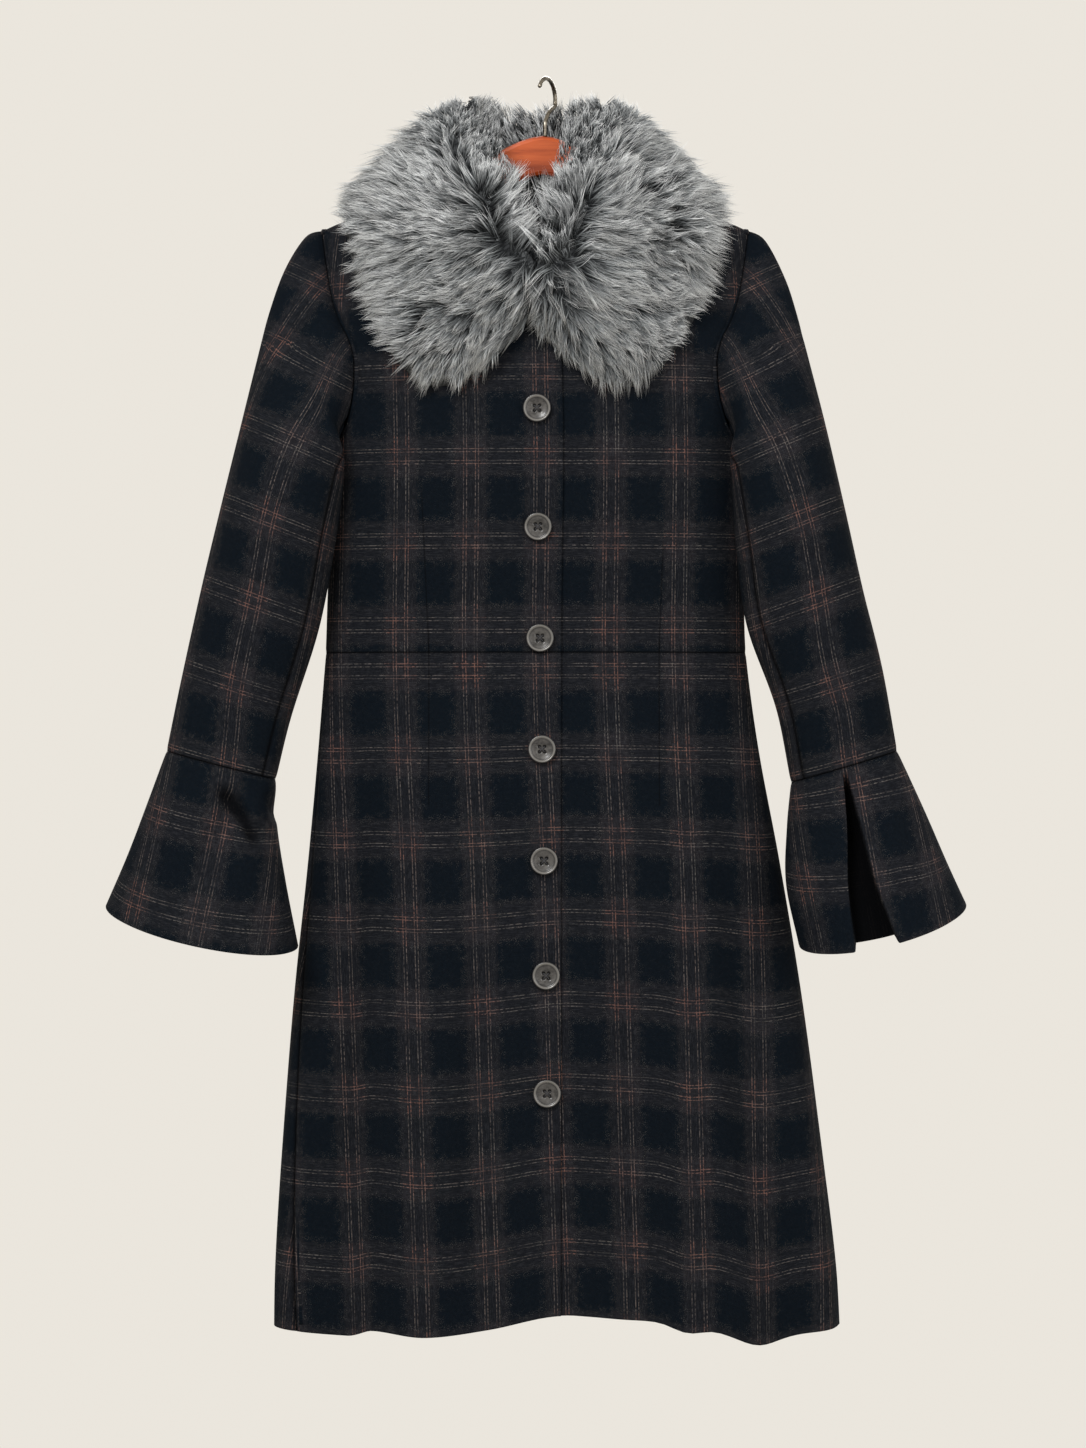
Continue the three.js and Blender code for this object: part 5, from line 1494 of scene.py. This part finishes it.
def lie(root, flow, front):
    """The way the fur lies at its roots: the mean of the flow table's ways, each with the
    weight of a bell over its distance, and a fan out from every hollow. Behind the front it is
    the flow given."""
    off = from_places(root, FUR_FLOW)[1]
    weight = hill(off, FLOW_WIDTH) + 1e-9 / (1 + off)
    way = unit(weight @ joined(FUR_FLOW["goX"], 0.0, FUR_FLOW["goZ"]))
    out, off = from_places(root, HOLLOWS)
    fan = hill(off, HOLLOWS["radius"] * 1.3) * HOLLOWS["dark"] * FAN / np.maximum(off, 1.0)
    fanned = (out * fan[..., None]).sum(axis=1)
    way = way + joined(fanned[:, 0], 0.0, fanned[:, 1])
    return unit(mix(flow, way, front[:, None]))


def hollow(root):
    """How deep in a hollow of the fur its roots lie."""
    off = from_places(root, HOLLOWS)[1]
    return (hill(off, HOLLOWS["radius"]) * HOLLOWS["dark"]).max(axis=-1)


def fur(name, surface, rows, locks, seed):
    """Fur over a side of the collar. Each lock leaves the pelt between its normal and the way
    the fur lies there. It is shorter and darker in a hollow, shorter at the neck's rim and at
    the collar's edge, and unruly in a knot. A lock's hairs have roots spread round its own, and
    tips drawn together."""
    rng = np.random.default_rng(seed)
    locks = locks // 1
    on_top = surface is pelt_top
    place, part = scattered(surface, rows, locks, rng)
    root = surface(rows, place, part)
    flow, along = ways_over(surface, rows, place, part)
    axis = COLLAR_HEART if on_top else root * [0, 0, 1] + [CENTRE_X, 0, 0]
    away = facing(unit(np.cross(flow, along)), (root - axis) * (1 if on_top else -1))
    front = past(-root[:, 1], *FUR_FRONT) * on_top
    if on_top:
        up = (1 - past(part, *TURN_UP)) * (1 - front)
        behind = unit(mix(flow, UPWARDS, up[:, None]))
        rim = (1 - past(part, *RIM_PART)) * past(root[:, 2], *RIM_LEVEL) * front
    else:
        behind = unit(UPWARDS + away * NECK_LEAN)
        rim = past(root[:, 2], *NECK_LEVEL) * past(-root[:, 1], *NECK_FRONT)
    way = lie(root, behind, front)
    way = unit(way - away * (way * away).sum(axis=-1, keepdims=True) * front[:, None])
    sunk = hollow(root) * front
    knot = hill(from_places(root, KNOTS)[1], KNOTS["radius"]).max(axis=-1) * front
    drift = np.sin(root / WAVES[0] + [0.0, 1.0, 2.0])
    drift = drift + SMALL_WAVE * np.sin(root[:, [1, 2, 0]] / WAVES[1])
    rise = (FUR_RISE * (1 + HOLLOW_RISE * sunk))[:, None] if on_top else NECK_RISE
    wild = rng.normal(0, 1, root.shape) * mix(*WILD_WAY, knot)[:, None]
    way = unit(way * WAY_PART + away * rise + drift * WAY_DRIFT + wild)
    edge = past(part, *EDGE_PART)
    length = rng.normal(FUR_LENGTH, LENGTH_SPREAD, locks)
    length = length * (1 - HOLLOW_SHORT * sunk) * (1 - EDGE_SHORT * edge) * (1 - RIM_SHORT * rim)
    wild = rng.normal(0, 1, root.shape) * mix(*WILD_BEND, knot)[:, None]
    bend = -away * BEND + drift * BEND_DRIFT + wild
    tone = rng.normal(TONE, TONE_SPREAD, locks) - HOLLOW_TONE * sunk - NECK_TONE * (not on_top)
    tone = np.clip(tone, 0.05, 1.0)
    tip = root + way * length[:, None]
    tip[:, 2] -= np.maximum(tip[:, 2] - FUR_TOP_Z, 0) * TOP_PRESSED
    spread = rng.normal(0, 1, (2, locks, HAIRS_IN_LOCK, 1))
    spread = flow[:, None] * spread[0] + along[:, None] * spread[1]
    roots = root[:, None] + spread * LOCK_SPREAD
    tips = tip[:, None] + rng.normal(0, TIP_SPREAD, (locks, HAIRS_IN_LOCK, 3))
    ways = (tips - roots).reshape(-1, 3)
    lengths = np.linalg.norm(ways, axis=-1) * rng.uniform(*HAIR_LENGTH, len(ways))
    tones = np.repeat(tone, HAIRS_IN_LOCK) + rng.normal(0, HAIR_TONE, len(ways))
    radii = rng.uniform(*HAIR_R, len(ways))
    bends = np.repeat(bend, HAIRS_IN_LOCK, axis=0)
    roots = roots.reshape(-1, 3)
    piece = strands(name, roots, unit(ways), lengths, radii, np.clip(tones, 0, 1), bends)
    return piece


def strands(name, roots, ways, lengths, radii, tones, bends):
    """Hairs, each a closed three-sided taper along a bent line. A point on the line is
    root + (way * s + bend * s * s) * length, for the places s of two rings and the tip."""
    count = len(roots)
    side = unit(np.cross(ways, bends + [0.0, 0.0, 1e-4]))
    level = np.array([0.0, 0.55])
    width = np.array([1.0, 0.85])
    line = roots[:, None] + ways[:, None] * (lengths[:, None] * level)[..., None]
    line = line + bends[:, None] * (lengths[:, None] * level**2)[..., None]
    tip = roots + (ways + bends) * lengths[:, None]
    over = unit(np.cross(side, ways))
    corners = []
    for turn in np.radians([90.0, 210.0, 330.0]):
        out = side * np.cos(turn) + over * np.sin(turn)
        corners.append(line + out[:, None] * (radii[:, None] * width)[..., None])
    rings = np.stack(corners, axis=2).reshape(count, 6, 3)
    every = np.concatenate([rings, tip[:, None]], axis=1)
    faces = [(0, 1, 2)]
    for low in range(3):
        after = (low + 1) % 3
        faces += [(low, after + 3, after), (low, low + 3, after + 3), (low + 3, 6, after + 3)]
    faces = np.array(faces)
    size = every.shape[1]
    all_faces = (faces[None] + (np.arange(count) * size)[:, None, None]).reshape(-1, 3)
    tips = np.tile(np.array([*np.repeat(level, 3), 1.0]), count)
    marks = {"tip": tips, "tone": np.repeat(tones, size)}
    return put_mesh(name, every.reshape(-1, 3), all_faces.tolist(), FUR, marks=marks)


# Buttons


def revolve(radii, heights, around):
    """A profile carried round the axis -Y: points at every radius, height and turn."""
    turn = np.linspace(0, 2 * np.pi, around, endpoint=False)
    radii = radii[:, None]
    return joined(radii * np.cos(turn), -heights[:, None] + 0 * turn, radii * np.sin(turn))


def front_point(x, z):
    """The coat's front at a place."""
    middle, half, _, _ = plan_at(z)
    angle = angle_of((x - middle) / half)
    if z > WAIST_Z:
        return bodice_point(angle, z - CHEST_Z)
    return skirt_point(angle, (z - WAIST_Z) / (hem_z(angle, x) - WAIST_Z))


def turned_to(out):
    """The matrix that turns -Y to a direction, with X kept level."""
    across = unit(np.cross(out, [0.0, 0.0, 1.0]))
    return np.stack([-across, -out, np.cross(out, across) * -1.0], axis=0)


def front_way(x, z):
    """The direction out of the coat's front at a place, square to its slopes."""
    step = 5.0
    across = front_point(x + step, z) - front_point(x - step, z)
    up = front_point(x, z + step) - front_point(x, z - step)
    return facing(unit(np.cross(across, up)), np.array([0.0, -1.0, 0.0]))


def to_poles(values):
    """A number for each point of a closed profile's grid, in the order in which capped() puts
    them: the rows between, then one for each end."""
    return np.concatenate([values[1:-1].ravel(), values[0, :1], values[-1, :1]])


def button(index, x, z):
    """A turned button: a rounded rim round a dish, four holes as deep bells, and thread. Marks
    carry a painted highlight on its rim's top and painted shade in its holes, its groove and its
    side."""
    dish = BUTTON_DISH - DISH_LOW + DISH_RISE * (DISH_RADII / DISH_RADII[-1]) ** 2
    radii = np.concatenate([DISH_RADII, RIM["radius"]])
    heights = np.concatenate([dish, RIM["high"]])
    points = revolve(radii, heights, BUTTON_AROUND)
    hole = np.zeros(points.shape[:2])
    for hx, hz in ((-1, -1), (-1, 1), (1, -1), (1, 1)):
        off = np.hypot(points[..., 0] - hx * HOLE_OFF, points[..., 2] - hz * HOLE_OFF)
        hole = np.maximum(hole, 1 - smooth((off - HOLE_R * 0.75) / (HOLE_R * 0.5)))
    hole *= (np.arange(len(radii)) < len(DISH_RADII))[:, None]
    points[..., 1] += hole * HOLE_DEEP
    # pale is a painted highlight on the rim's top; the groove and the side get painted shade, as the
    # holes do
    pale = past(radii, *PALE_IN) * past(-radii, *PALE_OUT) * (heights > PALE_LOW)
    side = past(radii, *SIDE_IN) * (heights > SIDE_LOW)
    groove = np.maximum(hill(radii - GROOVE_R, GROOVE_HALF), side)
    dark = np.maximum(hole, groove[:, None] * GROOVE_SHADE)
    point, out = front_point(x, z), front_way(x, z)
    points = points @ turned_to(out) + point + out * BUTTON_SEAT
    every, faces = capped(points[1:-1], points[0, 0], points[-1, 0])
    marks = {"rim": to_poles(pale[:, None] + 0 * dark), "hole": to_poles(dark)}
    piece = put_mesh(f"button_{index}_turned", every, faces, HORN_BUTTON, marks=marks)
    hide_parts(f"button_{index}")
    return piece, sewing(index, point, out)


def sewing(index, point, out):
    """Two crossed stitches of thread between a button's holes, each an arch."""
    part = np.linspace(-1, 1, 9)
    high = BUTTON_DISH + THREAD_ARCH * (1 - part**2) - THREAD_DOWN * part**6
    points, faces = [], []
    for way in (1, -1):
        arch = joined(part * HOLE_OFF, -high, way * part * HOLE_OFF)
        line = arch @ turned_to(out) + point + out * BUTTON_SEAT
        every, sides = tube(line, THREAD_R, 8)
        first = sum(len(stitch) for stitch in points)
        points.append(every)
        faces += [[first + corner for corner in face] for face in sides]
    return put_mesh(f"button_{index}_thread", np.concatenate(points), faces, THREAD)


# Hanger


def hook():
    """The bent wire: a round profile along a smooth line through the stem and the bend."""
    middle_r = HOOK_R + WIRE_R
    bend = np.radians(np.linspace(HOOK_START, HOOK_END, 26))
    x = np.concatenate([STEM_OFFSET + STEM["x"], middle_r * np.cos(bend)])
    z = np.concatenate([HANGER_TOP_Z + STEM["z"], middle_r * np.sin(bend) - HOOK_R])
    along = np.concatenate([[0], np.cumsum(np.hypot(np.diff(x), np.diff(z)))])
    even = np.linspace(0, along[-1], 120)
    x, z = softened(np.interp(even, along, x)), softened(np.interp(even, along, z))
    turn = np.radians(HOOK_TURN)
    radius = np.full(len(x), WIRE_R)
    radius[-len(HOOK_TIP):] *= HOOK_TIP
    every, faces = tube(joined(x * np.cos(turn), x * np.sin(turn), z), radius, 16)
    piece = put_mesh("hanger_hook_wire", every, faces, WIRE_STEEL)
    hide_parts("hanger_hook")
    return piece


def softened(values, turns=10):
    """A row of numbers, each drawn towards the middle of its neighbours, several times."""
    for _ in range(turns):
        between = (values[:-2] + 2 * values[1:-1] + values[2:]) / 4
        values = np.concatenate([values[:1], between, values[-1:]])
    return values


# Camera, floor and light


def camera():
    """A camera straight on, whose frame is as high as the photograph's."""
    lens = bpy.data.cameras.new("camera")
    lens.sensor_fit = "VERTICAL"
    lens.sensor_height = 36.0
    lens.lens = lens.sensor_height * CAMERA_BACK / FRAME_HIGH
    lens.clip_end = 60.0
    view = bpy.data.objects.new("camera", lens)
    view.location = (FRAME_X, -CAMERA_BACK, FRAME_Z)
    view.rotation_euler = (np.pi / 2, 0.0, 0.0)
    bpy.context.scene.collection.objects.link(view)
    bpy.context.scene.camera = view


def area_light(name, place, aim, size, power):
    """A soft square light at a place, turned to a point."""
    light = bpy.data.lights.new(name, "AREA")
    light.size = size
    light.energy = power
    lamp = bpy.data.objects.new(name, light)
    lamp.location = place
    x, y, z = np.array(aim) - np.array(place)
    lamp.rotation_euler = (np.arctan2(np.hypot(x, y), -z), 0.0, np.arctan2(y, x) - np.pi / 2)
    bpy.context.scene.collection.objects.link(lamp)


def studio():
    """A pale world, a pale round floor that fades into it, and soft lights."""
    bpy.context.scene.view_settings.view_transform = "Standard"
    world = bpy.data.worlds.new("pale")
    bpy.context.scene.world = world
    world.use_nodes = True
    world.node_tree.nodes["Background"].inputs["Color"].default_value = BACKDROP
    world.node_tree.nodes["Background"].inputs["Strength"].default_value = 1.0
    for light in LIGHTS:
        area_light(*light)
    turn = np.linspace(0, 2 * np.pi, 96, endpoint=False)
    radii = np.linspace(0.0005, 1.0, 20)[:, None]
    points = joined(radii * np.cos(turn), radii * np.sin(turn), 0.0) * FLOOR_R
    points[..., 2] = FLOOR_Z
    faces = grid_faces(20, 96, wraps=True).tolist()
    return put_mesh("floor", points.reshape(-1, 3), faces, floor_finish())


def floor_finish():
    """Pale matt floor that turns see-through towards its rim."""
    floor = Finish("floor", Roughness=0.9)
    place = floor.object_place()
    level = floor.stretched(place, 1.0, 1.0, 0.0)
    off = floor.node("VectorMath", {"operation": "LENGTH"}, {0: level}, "Value")
    floor.set("Base Color", floor.blend(FLOOR_PALE, FLOOR_SHADE, floor.noise(place, 1.5) * 0.5))
    low, high = (FLOOR_R * MM * part for part in FLOOR_FADE)
    floor.set("Alpha", 1 - off.step(low, high))
    return floor.material


# Making

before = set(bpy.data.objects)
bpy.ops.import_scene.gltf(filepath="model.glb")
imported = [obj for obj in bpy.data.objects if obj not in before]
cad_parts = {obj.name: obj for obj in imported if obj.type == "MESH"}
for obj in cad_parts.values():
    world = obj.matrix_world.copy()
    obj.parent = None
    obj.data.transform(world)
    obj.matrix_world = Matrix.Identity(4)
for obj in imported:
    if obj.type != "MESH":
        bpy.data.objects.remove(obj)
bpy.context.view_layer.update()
PLAID = plaid_cloth()
FUR, PELT = fur_finish(), pelt_finish()
HORN_BUTTON, THREAD = horn_finish(), thread_finish()
WIRE_STEEL = wire_finish()

camera()
studio()

# The cloth pieces, each with its node in the frame, the size of its cut and the area of its
# cloth, in metres
CLOTHS = (
    (
        bodice_front("right_bodice_front_cloth", -1, OVERLAP, False),
        "right_bodice_front", (0.23, 0.45), 0.085,
    ),
    (
        bodice_front("left_bodice_front_cloth", 1, UNDERLAP, True),
        "left_bodice_front", (0.23, 0.45), 0.083,
    ),
    (bodice_back(), "back_bodice", (0.41, 0.45), 0.16),
    (
        skirt_front("right_skirt_front_cloth", -1, OVERLAP, False),
        "right_skirt_front", (0.25, 0.61), 0.1435,
    ),
    (
        skirt_front("left_skirt_front_cloth", 1, UNDERLAP, True),
        "left_skirt_front", (0.33, 0.62), 0.1667,
    ),
    (skirt_back(), "back_skirt", (0.61, 0.61), 0.3096),
    (top_sleeve(-1, "right"), "right_top_sleeve", (0.28, 0.5), 0.0946),
    (under_sleeve(-1, "right"), "right_under_sleeve", (0.13, 0.37), 0.0266),
    (top_sleeve(1, "left"), "left_top_sleeve", (0.27, 0.5), 0.0914),
    (under_sleeve(1, "left"), "left_under_sleeve", (0.12, 0.37), 0.0264),
    (cuff("right_cuff_cloth", RIGHT_CUFF, -1), "right_cuff", (0.48, 0.17), 0.0564),
    (cuff("left_cuff_cloth", LEFT_CUFF, 1), "left_cuff", (0.49, 0.17), 0.0608),
)
for piece, node, flat, area in CLOTHS:
    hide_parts(node)

for seam in (armhole_seam, side_seam):
    seam(-1, "right")
    seam(1, "left")

pelt()
FURS = (
    ("fur_right_under", pelt_top, RIGHT_COLLAR, FUR_LOCKS),
    ("fur_right_over", pelt_top, RIGHT_COLLAR, FUR_LOCKS),
    ("fur_left_under", pelt_top, LEFT_COLLAR, FUR_LOCKS),
    ("fur_left_over", pelt_top, LEFT_COLLAR, FUR_LOCKS),
    ("fur_neck_right", neck_side, RIGHT_COLLAR, NECK_LOCKS),
    ("fur_neck_left", neck_side, LEFT_COLLAR, NECK_LOCKS),
)
for seed, (name, surface, rows, locks) in enumerate(FURS, 11):
    fur(name, surface, rows, locks, seed)

for index, (x, z) in enumerate(zip(BUTTONS["x"], BUTTONS["z"]), 1):
    for piece in button(index, x, z):
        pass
hook()
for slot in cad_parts["hanger_body"].material_slots:
    slot.material = wood_finish()
